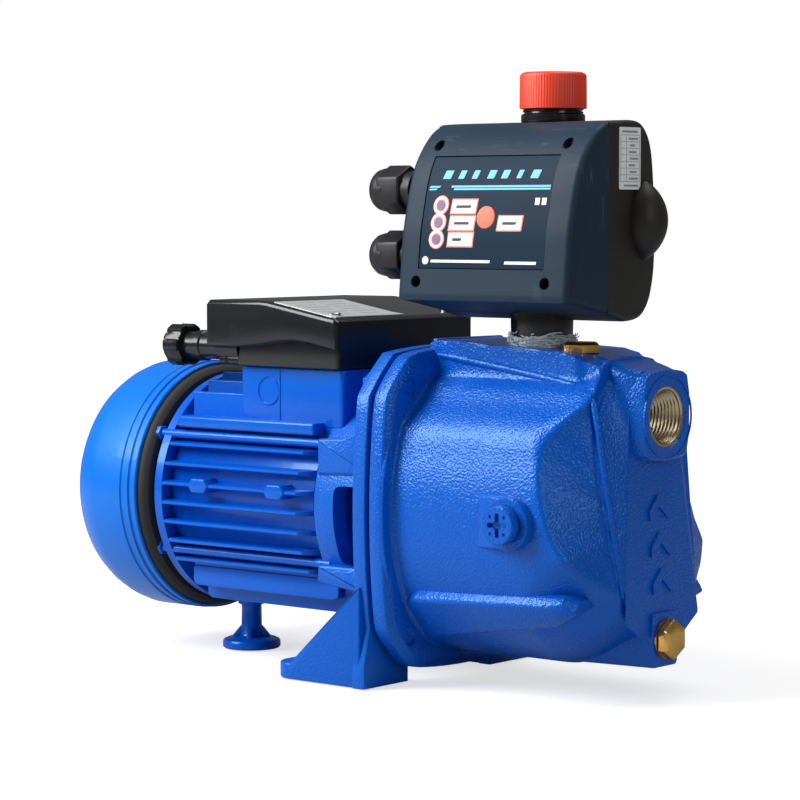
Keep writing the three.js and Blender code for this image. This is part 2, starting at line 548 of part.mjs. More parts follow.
add(pump, "terminal_box", terminalBase(), glossBlack);
add(pump, "terminal_lid", terminalLid(), glossBlack);
const lidScrew = join(round("z", 3.8, 206.8, 209.4, 12), round("z", 1.8, 192, 207, 8));
bothSides.flatMap((s) => [-124, -44].map((x) => [x, s * (box.halfWidth - 6)])).forEach(([x, y], i) => {
  add(pump, `lid_screw_${i + 1}`, lidScrew, steel, x, y, 0);
});
const terminalBlock = () => cut(bar(-60, -44, 8, 44, box.low + box.wall + gap, 193),
  ...[0, 1, 2, 3].map((i) => bar(-58, -46, 11 + i * 8.5, 16 + i * 8.5, 187, 200)));
add(pump, "terminal_block", terminalBlock(), noryl);
add(pump, "run_capacitor", moved(round("y", 12.5, -34, 34), -80, 0, box.low + 19), glossBlack);
add(pump, "motor_gland", glandBody(12, 13, 6.2, 30.5), glossBlack, motorGland.tip, motorGland.y, motorGland.z);

// ---------------------------------------------------------------- flow controller
// Side outline of the housing: pairs of Y and height, the front cover first.
const frontProfile = [[housing.seam, 210.6], [-60, 218.5], [-57.6, 238], [-54.2, 262], [-50.6, 279],
  [-46, 293], [-41, 300], [-30.3, 311.5], [housing.seam, 315.5]];
const rearProfile = [[housing.seam, 210.6], [housing.seam, 315.5], [6, 314.5], [19, 311], [26, 302], [30, 290],
  [30, 238], [25, 217], [12, 208], [-4, 206.6]];

// The same outline drawn in towards its middle.
function shrunk(profile, by, edge) {
  const cy = profile.reduce((sum, [y]) => sum + y, 0) / profile.length;
  const cz = profile.reduce((sum, [, z]) => sum + z, 0) / profile.length;
  return profile.map(([y, z]) => {
    const keep = Math.abs(y - edge) < 0.01;
    return [keep ? y - Math.sign(cy - edge) * 5 : y - Math.sign(y - cy) * by, z - Math.sign(z - cz) * by];
  });
}

const screwSpots = [coverScrew.lowZ, coverScrew.highZ].flatMap((z) =>
  bothSides.map((s) => [housing.middle + s * coverScrew.spread, z]));
const faceLean = Math.atan2(7, 41); // front face leans back by this angle at the button
const buttonSpot = { x: 67.5, y: -53.9, z: 263.6 };

// Placed at the button's spot: Z points out of the leaning front face.
const atButton = (geometry) =>
  geometry.applyMatrix4(extruded.y).rotateX(-faceLean).translate(buttonSpot.x, buttonSpot.y, buttonSpot.z);

// A sheet that follows the bowed front face, between two depths below it.
function faceSheet(deep, shallow, grow) {
  const low = panel.centreZ - panel.height / 2 - grow;
  const high = panel.centreZ + panel.height / 2 + grow;
  const spine = frontProfile.slice(1, 7);
  const faceY = (z) => {
    const i = spine.findIndex(([, above]) => above >= z);
    const [[y0, z0], [y1, z1]] = [spine[i - 1], spine[i]];
    return y0 + ((y1 - y0) * (z - z0)) / (z1 - z0);
  };
  const levels = [low, ...spine.map(([, z]) => z).filter((z) => z > low + 1 && z < high - 1), high];
  const line = (depth) => levels.map((z) => [faceY(z) + depth, z]);
  const half = panel.width / 2 + grow;
  return prism("x", [...line(shallow), ...line(deep).reverse()], housing.middle - half, housing.middle + half);
}

function frontCover() {
  const outer = prism("x", frontProfile, housing.left, housing.right);
  const inner = prism("x", shrunk(frontProfile, housing.wall, housing.seam),
    housing.left + housing.wall, housing.right - housing.wall);
  const bosses = screwSpots.map(([x, z]) => overlap(moved(round("y", 5.5, -70, housing.seam, 6), x, 0, z), outer));
  const body = join(cut(outer, inner), ...bosses);
  const wells = screwSpots.map(([x, z]) => moved(round("y", 3.2, -80, -30, 12), x, 0, z));
  const holes = screwSpots.map(([x, z]) => moved(round("y", 1.9, -80, 0, 8), x, 0, z));
  const recess = faceSheet(panel.thick + gap, -20, gap);
  const buttonWay = atButton(round("z", 6.8, -12, 10, 18));
  const sideEntries = [glandSize.highZ, glandSize.lowZ].map((z) =>
    moved(round("x", 9.4, 0, 20, 16), 0, glandSize.y, z));
  return cut(body, ...wells, ...holes, recess, buttonWay, ...sideEntries);
}

const controlPanel = () => cut(faceSheet(panel.thick, 0.1, 0), atButton(round("z", 6.8, -12, 10, 18)));

const resetButton = () =>
  atButton(turned("z", [[0, -5.4], [7.8, -5.4], [7.8, -3.9], [6.3, -3.9], [6.3, 0.2], [0, 0.5]], 18));

function rearCover() {
  const plan = (inset) => [
    [housing.left + inset, housing.seam + gap - (inset ? 6 : 0)],
    [housing.right - inset, housing.seam + gap - (inset ? 6 : 0)],
    [housing.right - inset, 8], [housing.right - 5 - inset, 30 - inset],
    [housing.left + 5 + inset, 30 - inset], [housing.left + inset, 8],
  ];
  const outer = overlap(prism("x", rearProfile, 0, 140), prism("z", plan(0), 190, 330));
  const inner = overlap(prism("x", shrunk(rearProfile, housing.wall, housing.seam), 0, 140),
    prism("z", plan(housing.wall), 190, 330));
  const spindle = turned("z", Array.from({ length: 7 }, (_, i) => {
    const t = (i / 3 - 1) * 21.7;
    return [i % 6 === 0 ? 0 : Math.sqrt(25.6 ** 2 - t * t) - 13.6, t];
  }), 12);
  const bulges = [housing.right, housing.left].map((x) => moved(spindle, x, 13, 262));
  const posts = screwSpots.map(([x, z]) =>
    overlap(moved(round("y", 5.5, housing.seam + gap, 29, 8), x, 0, z), outer));
  const hollow = cut(outer, inner);
  const body = join(hollow, ...posts, ...bulges.map((b) => cut(b, inner)));
  const pilot = screwSpots.map(([x, z]) => moved(round("y", 1.9, -30, -9, 8), x, 0, z));
  const below = moved(round("z", stem.radius + gap, 190, 240, 20), stem.x, stem.y, 0);
  const above = moved(round("z", stem.radius + gap, 290, 330, 20), outlet.x, outlet.y, 0);
  return cut(body, ...pilot, below, above);
}

function controllerBody() {
  const lower = moved(turned("z", [[0, stem.low], [stem.thread, stem.low], [stem.thread, 193.4], [stem.radius - 1, 194.4],
    [stem.radius, 198], [stem.radius, 250], [0, 250]], 20), stem.x, stem.y, 0);
  const upper = moved(turned("z", [[0, 250], [17, 250], [17, outlet.collarZ - 1], [17.6, outlet.collarZ],
    [17.6, outlet.neckZ], [outlet.neckR, outlet.neckZ], [outlet.neckR, outlet.top], [0, outlet.top]], 20),
  outlet.x, outlet.y, 0);
  const chamber = moved(round("z", 21, 240, 284, 20), 68.7, 0, 0);
  const ways = [
    moved(round("z", stem.bore, 170, 262, 14), stem.x, stem.y, 0),
    moved(round("z", outlet.bore, 262, 345, 14), outlet.x, outlet.y, 0),
    moved(round("z", 17, 244, 280, 16), 68.7, 0, 0),
  ];
  const seat = moved(hoop("z", 8.5, stem.bore + 1, 206, 210, 14), stem.x, stem.y, 0);
  return join(cut(join(lower, upper, chamber), ...ways), seat);
}

const checkValve = () => turned("z", [[0, 210.4], [10.8, 210.4], [10.8, 213], [3, 214], [2.5, 221], [0, 221]], 16);
const coverScrewShape = join(round("y", 2.9, -32.5, -30.4, 12), round("y", 1.5, -31, -11, 8));
const diaphragm = () => round("y", 14, -25, -23.2, 20);

function outletCap() {
  const { radius: r, low, top, wall: w } = capSize;
  const shell = turned("z", [[outlet.neckR + 0.5, low], [r, low], [r, top - 2.4], [r - 1.2, top - 0.8], [8, top],
    [0, top + 0.3], [0, top - w - 0.4], [outlet.neckR + 0.5, top - w - 0.4], [outlet.neckR + 0.5, low]], 28);
  return shell;
}

add(pump, "controller_body", controllerBody(), glossBlack);
add(pump, "controller_front", frontCover(), slatePlastic);
add(pump, "controller_rear", rearCover(), brownBlack);
add(pump, "control_panel", controlPanel(), panelBlue);
add(pump, "reset_button", resetButton(), buttonRed);
add(pump, "circuit_board", bar(20, 114, -34.5, -33, 235, 290), boardGreen);
add(pump, "diaphragm", diaphragm(), blackRubber, 68.7, 0, 262);
add(pump, "check_valve", checkValve(), noryl, stem.x, stem.y, 0);
screwSpots.forEach(([x, z], i) => add(pump, `cover_screw_${i + 1}`, coverScrewShape, steel, x, 0, z));
[["upper_gland", glandSize.highZ], ["lower_gland", glandSize.lowZ]].forEach(([name, z]) => {
  add(pump, name, glandBody(housing.left - glandSize.tip - gap, 14.3, 9, 5), glossBlack, glandSize.tip, glandSize.y, z);
});
add(pump, "outlet_cap", outletCap(), redPlastic, outlet.x, outlet.y, 0);
add(pump, "cap_seal", hoop("z", 11, 16.2, outlet.top + gap, capSize.top - capSize.wall - 0.8), blackRubber,
  outlet.x, outlet.y, 0);

// ---------------------------------------------------------------- threaded plugs and their washers
function hexPlug(axis, acrossFlats, thick, shank, direction) {
  const head = hexagon(axis, acrossFlats, 0, thick);
  const crown = turned(axis, [[0, thick - 0.1], [acrossFlats * 0.48, thick - 0.1], [acrossFlats * 0.44, thick + 0.7],
    [0, thick + 0.7]], 18);
  return join(head, crown, round(axis, shank, direction, 0.1, 14));
}

const washer = (axis, inner, outer, thick) => hoop(axis, inner, outer, 0, thick, 18);

function fillerPlug() {
  const head = turned("y", [[0, -5.5], [9.4, -5.5], [10.5, -4.4], [10.5, 0], [0, 0]], 20);
  const arms = [0, 1].map((i) => bar(-6.4, 6.4, -8, -3.2, -1.3, 1.3).rotateY((i * Math.PI) / 2));
  const dimples = [0, 1, 2, 3].map((i) => moved(round("y", 0.9, -8, -4.3, 6), 4.6, 0, 4.6).rotateY((i * Math.PI) / 2));
  return join(cut(head, ...arms, ...dimples), round("y", 5.9, -0.1, 12, 14));
}

add(pump, "priming_washer", washer("z", 6.4, 11, 1), copper, priming.x, priming.y, priming.z + gap);
add(pump, "priming_plug", hexPlug("z", 19.5, 6, 5.9, -12), brass, priming.x, priming.y, priming.z + 1 + 2 * gap);
add(pump, "drain_washer", washer("x", 6.4, 11, 1), copper, drain.face + gap, 0, drain.z);
add(pump, "drain_plug", hexPlug("x", 19.6, 5.2, 5.9, -12), brass, drain.face + 1 + 2 * gap, 0, drain.z);
add(pump, "filler_seal", washer("y", 6.4, 9.5, 1), blackRubber, filler.x, filler.face - 1 - gap, filler.z);
add(pump, "filler_plug", fillerPlug(), castingBlue, filler.x, filler.face - 1 - 2 * gap, filler.z);

export default assembly;
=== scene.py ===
import math

import bmesh
import bpy
import numpy as np
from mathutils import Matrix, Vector


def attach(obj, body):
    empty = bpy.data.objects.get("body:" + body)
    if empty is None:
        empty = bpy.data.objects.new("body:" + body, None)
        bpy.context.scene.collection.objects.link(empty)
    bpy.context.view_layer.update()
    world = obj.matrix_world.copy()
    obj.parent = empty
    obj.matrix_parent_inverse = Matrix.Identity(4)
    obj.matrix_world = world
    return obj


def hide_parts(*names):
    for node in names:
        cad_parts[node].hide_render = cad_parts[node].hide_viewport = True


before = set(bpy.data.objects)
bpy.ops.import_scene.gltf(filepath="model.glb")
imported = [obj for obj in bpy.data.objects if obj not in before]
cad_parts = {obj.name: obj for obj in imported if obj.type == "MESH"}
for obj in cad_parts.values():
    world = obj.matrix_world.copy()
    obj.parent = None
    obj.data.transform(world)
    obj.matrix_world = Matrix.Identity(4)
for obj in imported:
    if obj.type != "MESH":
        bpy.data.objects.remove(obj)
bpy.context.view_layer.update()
footReach = 156.0  # rear foot's centre to the bracket's front face
shaftZ = 99.0
shaftAxis = (0, 0, shaftZ)
rng = np.random.default_rng(7)


# ---- meshes

def surface(name, grids, material, crease=32):
    # grids: one (rings, points, 3) array or a list; every ring is closed and the two end rings are capped
    verts, faces, base = [], [], 0
    for grid in grids if isinstance(grids, list) else [grids]:
        rings, count = grid.shape[:2]
        i, j = np.meshgrid(np.arange(rings - 1), np.arange(count), indexing="ij")
        a = base + i * count + j
        b = base + i * count + (j + 1) % count
        faces += np.stack([a, b, b + count, a + count], -1).reshape(-1, 4).tolist()
        faces.append(list(range(base + count - 1, base - 1, -1)))
        faces.append(list(range(base + (rings - 1) * count, base + rings * count)))
        verts.append(grid.reshape(-1, 3))
        base += rings * count
    points = (np.concatenate(verts) + [footReach, 0, 0]) / 1000
    mesh = bpy.data.meshes.new(name)
    mesh.from_pydata(points.tolist(), [], faces)
    work = bmesh.new()
    work.from_mesh(mesh)
    bmesh.ops.remove_doubles(work, verts=work.verts, dist=2e-6)
    bmesh.ops.dissolve_degenerate(work, edges=work.edges, dist=1e-7)
    bmesh.ops.recalc_face_normals(work, faces=work.faces)
    work.to_mesh(mesh)
    work.free()
    mesh.shade_smooth()
    mesh.set_sharp_from_angle(angle=math.radians(crease))
    piece = bpy.data.objects.new(name, mesh)
    bpy.context.scene.collection.objects.link(piece)
    mesh.materials.append(material)
    return piece


def skin(name, grids, material, body="pump_body", crease=32, stands=()):
    # a piece that moves with a body, in the material given; the solids it stands in for are hidden
    piece = surface(name, grids, material, crease)
    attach(piece, body)
    if stands:
        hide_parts(*stands)
    return piece


def aim(grid, axis):
    # a shape drawn in its own (across, up, along) is laid along an axis of the part
    order = {"x": [2, 0, 1], "y": [0, 2, 1], "z": [0, 1, 2]}[axis]
    return grid[..., order]


def turned(profile, axis, centre, sides=48):
    # surface of revolution: every (radius, height) pair goes once round the axis through centre
    profile = np.array(profile, float)
    angle = np.linspace(0, 2 * np.pi, sides, endpoint=False)
    grid = np.empty((len(profile), sides, 3))
    grid[..., 0] = profile[:, :1] * np.cos(angle)
    grid[..., 1] = profile[:, :1] * np.sin(angle)
    grid[..., 2] = profile[:, 1:]
    return aim(grid, axis) + centre


def offset(outline, inset):
    # each corner moves inwards along the mean normal of its two edges, so the walls keep their distance
    ahead = np.roll(outline, -1, 0) - outline
    ahead /= np.linalg.norm(ahead, axis=1, keepdims=True)
    behind = np.roll(ahead, 1, 0)
    normal = np.stack([-(ahead + behind)[:, 1], (ahead + behind)[:, 0]], 1)
    length = np.linalg.norm(normal, axis=1, keepdims=True)
    normal /= length
    return outline + normal * (2 * inset / np.maximum(length, 0.7))


def slab(outline, axis, low, high, edge=0.0, centre=(0, 0, 0), steps=3):
    # an outline carried along an axis, its two rims rounded by a quarter circle
    outline = np.array(outline, float)
    area = outline[:, 0] @ np.roll(outline[:, 1], -1) - outline[:, 1] @ np.roll(outline[:, 0], -1)
    outline = outline if area > 0 else outline[::-1]
    turn = np.linspace(0, np.pi / 2, steps + 1) if edge else np.array([0.0])
    insets = edge * (1 - np.sin(turn))
    heights = edge * (1 - np.cos(turn))
    levels = list(zip(insets, low + heights)) + list(zip(insets[::-1], high - heights[::-1]))
    if not edge:
        levels = [(0.0, low), (0.0, high)]
    rings = [np.c_[offset(outline, s), np.full(len(outline), h)] for s, h in levels]
    return aim(np.array(rings), axis) + centre


def rounded(corners, radius, steps=4):
    # each corner becomes a short parabola that starts and ends a radius away from it
    corners = np.array(corners, float)
    before, after = np.roll(corners, 1, 0) - corners, np.roll(corners, -1, 0) - corners
    spanB, spanA = np.linalg.norm(before, axis=1), np.linalg.norm(after, axis=1)
    reach = np.minimum(np.broadcast_to(radius, spanB.shape), 0.48 * np.minimum(spanB, spanA))[:, None]
    start = corners + before / spanB[:, None] * reach
    end = corners + after / spanA[:, None] * reach
    t = np.linspace(0, 1, steps + 1)[None, :, None]
    curve = (1 - t) ** 2 * start[:, None] + 2 * t * (1 - t) * corners[:, None] + t**2 * end[:, None]
    return curve.reshape(-1, 2)


def rectangle(x0, x1, y0, y1):
    return [(x0, y0), (x1, y0), (x1, y1), (x0, y1)]


def block(lo, hi, radius=1.0, edge=0.8, axis="z"):
    # a box with rounded corners and rims
    lo, hi = np.array(lo, float), np.array(hi, float)
    across = {"x": (1, 2, 0), "y": (0, 2, 1), "z": (0, 1, 2)}[axis]
    a, b, c = across
    return slab(rounded(rectangle(lo[a], hi[a], lo[b], hi[b]), radius), axis, lo[c], hi[c], edge)


def circle(radius, sides=32, centre=(0, 0)):
    angle = np.linspace(0, 2 * np.pi, sides, endpoint=False)
    return np.stack([radius * np.cos(angle) + centre[0], radius * np.sin(angle) + centre[1]], 1)


def hexagon(flats, turn=0.0, corner=0.6):
    angle = np.radians(60 * np.arange(6) + turn)
    return rounded(np.stack([np.cos(angle), np.sin(angle)], 1) * flats / math.sqrt(3), corner, 2)


def hoses(paths, radius, sides=6):
    # a small circle carried along each path, square to it: paths is (strands, stations, 3)
    along = np.gradient(paths, axis=1)
    along /= np.linalg.norm(along, axis=2, keepdims=True)
    side = np.cross(along, [0.31, 0.17, 0.93])
    side /= np.linalg.norm(side, axis=2, keepdims=True)
    up = np.cross(along, side)
    angle = np.linspace(0, 2 * np.pi, sides, endpoint=False)
    size = np.broadcast_to(radius, paths.shape[:2])[..., None, None]
    ring = side[:, :, None] * np.cos(angle)[:, None] + up[:, :, None] * np.sin(angle)[:, None]
    return list(paths[:, :, None] + ring * size)


def carve(piece, *grids):
    # takes each shape out of a piece
    for grid in grids:
        cutter = surface("cutter", grid, piece.data.materials[0])
        mod = piece.modifiers.new("carve", "BOOLEAN")
        mod.object = cutter
        mod.solver = "EXACT"
        with bpy.context.temp_override(object=piece, active_object=piece):
            bpy.ops.object.modifier_apply(modifier=mod.name)
        bpy.data.objects.remove(cutter)
    piece.data.shade_smooth()
    piece.data.set_sharp_from_angle(angle=math.radians(32))
    return piece


def mirrorY(grid):
    return grid * [1, -1, 1]


def rod(radius, low, high, axis, centre, sides=48):
    # a plain cylinder, or a taper where the radius is given as a pair
    near, far = np.broadcast_to(radius, 2)
    return turned([(0, low), (near, low), (far, high), (0, high)], axis, centre, sides)


def rounds(outline, radius, axis, low, high, edge):
    return slab(rounded(outline, radius), axis, low, high, edge)


def station(x, outline):
    # an outline in (y, z) set square to the shaft at x
    return np.c_[np.full(len(outline), x), outline]


def lofted(rows, corners, radii):
    # rounded outlines one after another along the shaft: each row is x and then what corners() needs
    return np.array([station(x, rounded(corners(*sizes), radii)) for x, *sizes in rows])


def archway(half, low, top):
    return [(-half, low), (half, low), (half, top), (-half, top)]


# ---- shader groups

def newGroup(name, inputs, outputs):
    group = bpy.data.node_groups.new(name, "ShaderNodeTree")
    for socket, kind, value in inputs:
        made = group.interface.new_socket(socket, in_out="INPUT", socket_type="NodeSocket" + kind)
        if value is not None:
            made.default_value = value
    for socket, kind in outputs:
        group.interface.new_socket(socket, in_out="OUTPUT", socket_type="NodeSocket" + kind)
    return group, group.nodes.new("NodeGroupInput"), group.nodes.new("NodeGroupOutput")


def addNode(tree, kind, values=None, **settings):
    node = tree.nodes.new("ShaderNode" + kind)
    for key, value in settings.items():
        setattr(node, key, value)
    for key, value in (values or {}).items():
        node.inputs[key].default_value = value
    return node


def wire(tree, *pairs):
    for source, target in pairs:
        tree.links.new(source, target)


def paintSkinGroup():
    # soft pits of a thick stove paint, a slow drift of the colour, and specks of dust that settle anywhere
    tree, start, end = newGroup("paintSkin",
        [("Pit Size", "Float", 450.0), ("Pit Depth", "Float", 0.35), ("Dust", "Float", 0.1)],
        [("Normal", "Vector"), ("Tone", "Float"), ("Speck", "Float")])
    place = addNode(tree, "TexCoord").outputs["Object"]
    pits = addNode(tree, "TexNoise", {"Detail": 1.5, "Roughness": 0.45, "Distortion": 0.3})
    cells = addNode(tree, "TexVoronoi", {"Randomness": 1.0}, feature="SMOOTH_F1")
    cells.inputs["Smoothness"].default_value = 0.6
    both = addNode(tree, "Math", operation="ADD")
    bump = addNode(tree, "Bump", {"Distance": 0.0006})
    drift = addNode(tree, "TexNoise", {"Scale": 14.0, "Detail": 3.0})
    specks = addNode(tree, "TexNoise", {"Scale": 900.0, "Detail": 2.0})
    sieve = addNode(tree, "MapRange", {"From Min": 0.66, "From Max": 0.8})
    share = addNode(tree, "Math", operation="MULTIPLY")
    wire(tree,
         (place, pits.inputs["Vector"]), (place, cells.inputs["Vector"]), (place, drift.inputs["Vector"]),
         (place, specks.inputs["Vector"]), (start.outputs["Pit Size"], pits.inputs["Scale"]),
         (start.outputs["Pit Size"], cells.inputs["Scale"]), (pits.outputs[0], both.inputs[0]),
         (cells.outputs["Distance"], both.inputs[1]), (both.outputs[0], bump.inputs["Height"]),
         (start.outputs["Pit Depth"], bump.inputs["Strength"]), (specks.outputs[0], sieve.inputs[0]),
         (sieve.outputs[0], share.inputs[0]), (start.outputs["Dust"], share.inputs[1]),
         (bump.outputs[0], end.inputs["Normal"]), (drift.outputs[0], end.inputs["Tone"]),
         (share.outputs[0], end.inputs["Speck"]))
    return tree


def grainGroup():
    # fine even grain of moulded plastic or cast metal, with long pale scuffs laid over it
    tree, start, end = newGroup("moldedGrain",
        [("Grain Size", "Float", 1400.0), ("Grain Depth", "Float", 0.2), ("Scuffs", "Float", 0.3)],
        [("Normal", "Vector"), ("Scuff", "Float"), ("Tone", "Float")])
    place = addNode(tree, "TexCoord").outputs["Object"]
    grain = addNode(tree, "TexNoise", {"Detail": 2.0})
    bump = addNode(tree, "Bump", {"Distance": 0.0002})
    lay = addNode(tree, "Mapping", {"Rotation": (0.4, 0.7, 0.5), "Scale": (1.0, 9.0, 1.0)})
    strokes = addNode(tree, "TexNoise", {"Scale": 42.0, "Detail": 4.0, "Distortion": 1.2})
    lines = addNode(tree, "MapRange", {"From Min": 0.6, "From Max": 0.75})
    patches = addNode(tree, "TexNoise", {"Scale": 18.0, "Detail": 3.0})
    where = addNode(tree, "MapRange", {"From Min": 0.5, "From Max": 0.7})
    both = addNode(tree, "Math", operation="MULTIPLY")
    share = addNode(tree, "Math", operation="MULTIPLY")
    wire(tree,
         (place, grain.inputs["Vector"]), (place, lay.inputs["Vector"]), (place, patches.inputs["Vector"]),
         (lay.outputs[0], strokes.inputs["Vector"]), (start.outputs["Grain Size"], grain.inputs["Scale"]),
         (grain.outputs[0], bump.inputs["Height"]), (start.outputs["Grain Depth"], bump.inputs["Strength"]),
         (strokes.outputs[0], lines.inputs[0]), (patches.outputs[0], where.inputs[0]),
         (lines.outputs[0], both.inputs[0]), (where.outputs[0], both.inputs[1]),
         (both.outputs[0], share.inputs[0]), (start.outputs["Scuffs"], share.inputs[1]),
         (bump.outputs[0], end.inputs["Normal"]), (share.outputs[0], end.inputs["Scuff"]),
         (patches.outputs[0], end.inputs["Tone"]))
    return tree


paintSkin = paintSkinGroup()
moldedGrain = grainGroup()


def material(name, values):
    made = bpy.data.materials.new(name)
    made.use_nodes = True
    shader = made.node_tree.nodes["Principled BSDF"]
    for key, value in values.items():
        shader.inputs[key].default_value = value
    return made, made.node_tree, shader


def finish(tree, shader, recipe, settings, spots, dark, light, mark):
    # colour drifts between dark and light, and the marks of the group's spots lie over it
    group = addNode(tree, "Group", node_tree=recipe)
    for key, value in settings.items():
        group.inputs[key].default_value = value
    base = addNode(tree, "Mix", data_type="RGBA")
    base.inputs["A"].default_value = (*dark, 1)
    base.inputs["B"].default_value = (*light, 1)
    top = addNode(tree, "Mix", data_type="RGBA")
    top.inputs["B"].default_value = (*mark, 1)
    wire(tree, (group.outputs["Tone"], base.inputs["Factor"]), (base.outputs["Result"], top.inputs["A"]),
         (group.outputs[spots], top.inputs["Factor"]), (top.outputs["Result"], shader.inputs["Base Color"]),
         (group.outputs["Normal"], shader.inputs["Normal"]))
    return group


dustColour = (0.45, 0.55, 0.7)


def paint(name, dark, light, pitSize, pitDepth, roughness, dust=0.15, coat=0.12):
    made, tree, shader = material(name, {"Roughness": roughness, "Coat Weight": coat, "Coat Roughness": 0.08,
                                         "Specular Tint": (0.30, 0.68, 1.0, 1)})
    settings = {"Pit Size": pitSize, "Pit Depth": pitDepth, "Dust": dust}
    group = finish(tree, shader, paintSkin, settings, "Speck", dark, light, dustColour)
    wire(tree, (group.outputs["Normal"], shader.inputs["Coat Normal"]))
    return made


def molded(name, dark, light, roughness, grain=1400.0, depth=0.2, scuffs=0.3, metallic=0.0, coat=0.0,
           mark=(0.3, 0.34, 0.4), shine=0.5):
    made, tree, shader = material(name, {"Roughness": roughness, "Metallic": metallic, "Coat Weight": coat,
                                         "Coat Roughness": 0.1, "Specular IOR Level": shine})
    finish(tree, shader, moldedGrain, {"Grain Size": grain, "Grain Depth": depth, "Scuffs": scuffs}, "Scuff",
           dark, light, mark)
    return made


castBlue = paint("castBlue", (0.0, 0.075, 0.46), (0.0, 0.10, 0.56), 780.0, 0.42, 0.28)
footBlue = paint("footBlue", (0.0, 0.08, 0.47), (0.0, 0.10, 0.55), 700.0, 0.3, 0.36)
frameBlue = paint("frameBlue", (0.0, 0.08, 0.49), (0.0, 0.105, 0.60), 160.0, 0.05, 0.28)
cowlBlue = paint("cowlBlue", (0.0, 0.12, 0.56), (0.0, 0.15, 0.66), 220.0, 0.06, 0.36, coat=0.08)
glossBlack = molded("glossBlack", (0.006, 0.007, 0.009), (0.012, 0.013, 0.016), 0.2,
                    scuffs=0.08, depth=0.08, coat=0.1, shine=0.35)
softBlack = molded("softBlack", (0.008, 0.008, 0.010), (0.018, 0.018, 0.021), 0.4,
                   depth=0.25, scuffs=0.2, shine=0.3)
slateCover = molded("slateCover", (0.010, 0.024, 0.045), (0.018, 0.036, 0.060), 0.46,
                    depth=0.3, scuffs=0.45, mark=(0.13, 0.18, 0.24), shine=0.14)
umberCover = molded("umberCover", (0.013, 0.012, 0.011), (0.024, 0.022, 0.020), 0.46,
                    depth=0.35, scuffs=0.4, mark=(0.10, 0.09, 0.085), shine=0.3)
labelBlue = molded("labelBlue", (0.004, 0.016, 0.034), (0.009, 0.032, 0.060), 0.42,
                   depth=0.1, scuffs=0.15, mark=(0.07, 0.12, 0.19), shine=0.06)
capRed = molded("capRed", (0.80, 0.035, 0.012), (0.92, 0.065, 0.02), 0.4,
                depth=0.15, scuffs=0.1, mark=(1.0, 0.4, 0.3))
discRed = molded("discRed", (0.86, 0.13, 0.055), (0.92, 0.17, 0.08), 0.5, depth=0.1, scuffs=0.0)
plugBrass = molded("plugBrass", (0.72, 0.42, 0.10), (0.86, 0.55, 0.16), 0.24,
                   metallic=1.0, scuffs=0.3, depth=0.3, mark=(0.95, 0.78, 0.45))
boreBrass = molded("boreBrass", (0.42, 0.34, 0.22), (0.60, 0.50, 0.34), 0.3,
                   metallic=1.0, scuffs=0.3, depth=0.3, mark=(0.75, 0.72, 0.62))
bareSteel = molded("bareSteel", (0.42, 0.43, 0.45), (0.56, 0.57, 0.60), 0.3, metallic=1.0, scuffs=0.2)
dullSteel = molded("dullSteel", (0.16, 0.165, 0.18), (0.25, 0.255, 0.27), 0.5, metallic=0.9, scuffs=0.1)
wireCopper = molded("wireCopper", (0.48, 0.20, 0.10), (0.60, 0.27, 0.14), 0.35, metallic=0.9, scuffs=0.0)
washerCopper = molded("washerCopper", (0.62, 0.30, 0.16), (0.72, 0.38, 0.22), 0.35, metallic=1.0)
# black of the rubber seals, also used for painted shade in the gap inside the fan cowl
rubberAndGapShade = molded("rubberAndGapShade", (0.010, 0.010, 0.011), (0.02, 0.02, 0.021), 0.75, depth=0.3, scuffs=0.0)
greyPart = molded("greyPart", (0.05, 0.053, 0.058), (0.08, 0.083, 0.09), 0.5, scuffs=0.0)
boardGreen = molded("boardGreen", (0.01, 0.10, 0.035), (0.02, 0.15, 0.05), 0.4, scuffs=0.0)
fibreSheet = molded("fibreSheet", (0.05, 0.055, 0.06), (0.08, 0.085, 0.09), 0.85, scuffs=0.0)
stickerWhite = molded("stickerWhite", (0.74, 0.76, 0.78), (0.82, 0.84, 0.85), 0.45,
                      depth=0.05, scuffs=0.15, mark=(0.6, 0.6, 0.6))
stickerSilver = molded("stickerSilver", (0.62, 0.63, 0.65), (0.74, 0.75, 0.77), 0.34,
                       metallic=0.5, depth=0.1, scuffs=0.2)
inkBlack = molded("inkBlack", (0.02, 0.02, 0.025), (0.03, 0.03, 0.035), 0.6, scuffs=0.0)
inkGrey = molded("inkGrey", (0.22, 0.23, 0.25), (0.30, 0.31, 0.33), 0.6, scuffs=0.0)
inkSky = molded("inkSky", (0.10, 0.46, 0.85), (0.14, 0.52, 0.92), 0.5, scuffs=0.0)
inkWhite = molded("inkWhite", (0.82, 0.80, 0.78), (0.88, 0.86, 0.85), 0.5, scuffs=0.0)
inkCoral = molded("inkCoral", (0.85, 0.19, 0.12), (0.90, 0.23, 0.15), 0.5, scuffs=0.0)
lensMauve = molded("lensMauve", (0.20, 0.15, 0.26), (0.27, 0.21, 0.34), 0.5, scuffs=0.0, shine=0.1)
hempPale = molded("hempPale", (0.66, 0.78, 0.80), (0.90, 0.97, 0.97), 0.8, scuffs=0.0)
print("materials:", len(bpy.data.materials))


# ---- pump casing

casing = {
    "power": 2.2, "halfWidth": 70.5, "halfHeight": 82.5,  # drum's cross-section
    "ridgeBlend": 5.0,  # how widely the top ridge melts into the drum
    "front": 15.0,  # front of the flange plate, where the drum starts
    "panelX": 144.3, "panelTilt": 0.065,  # the nose's flat panel, and how much it leans back per mm of height
}


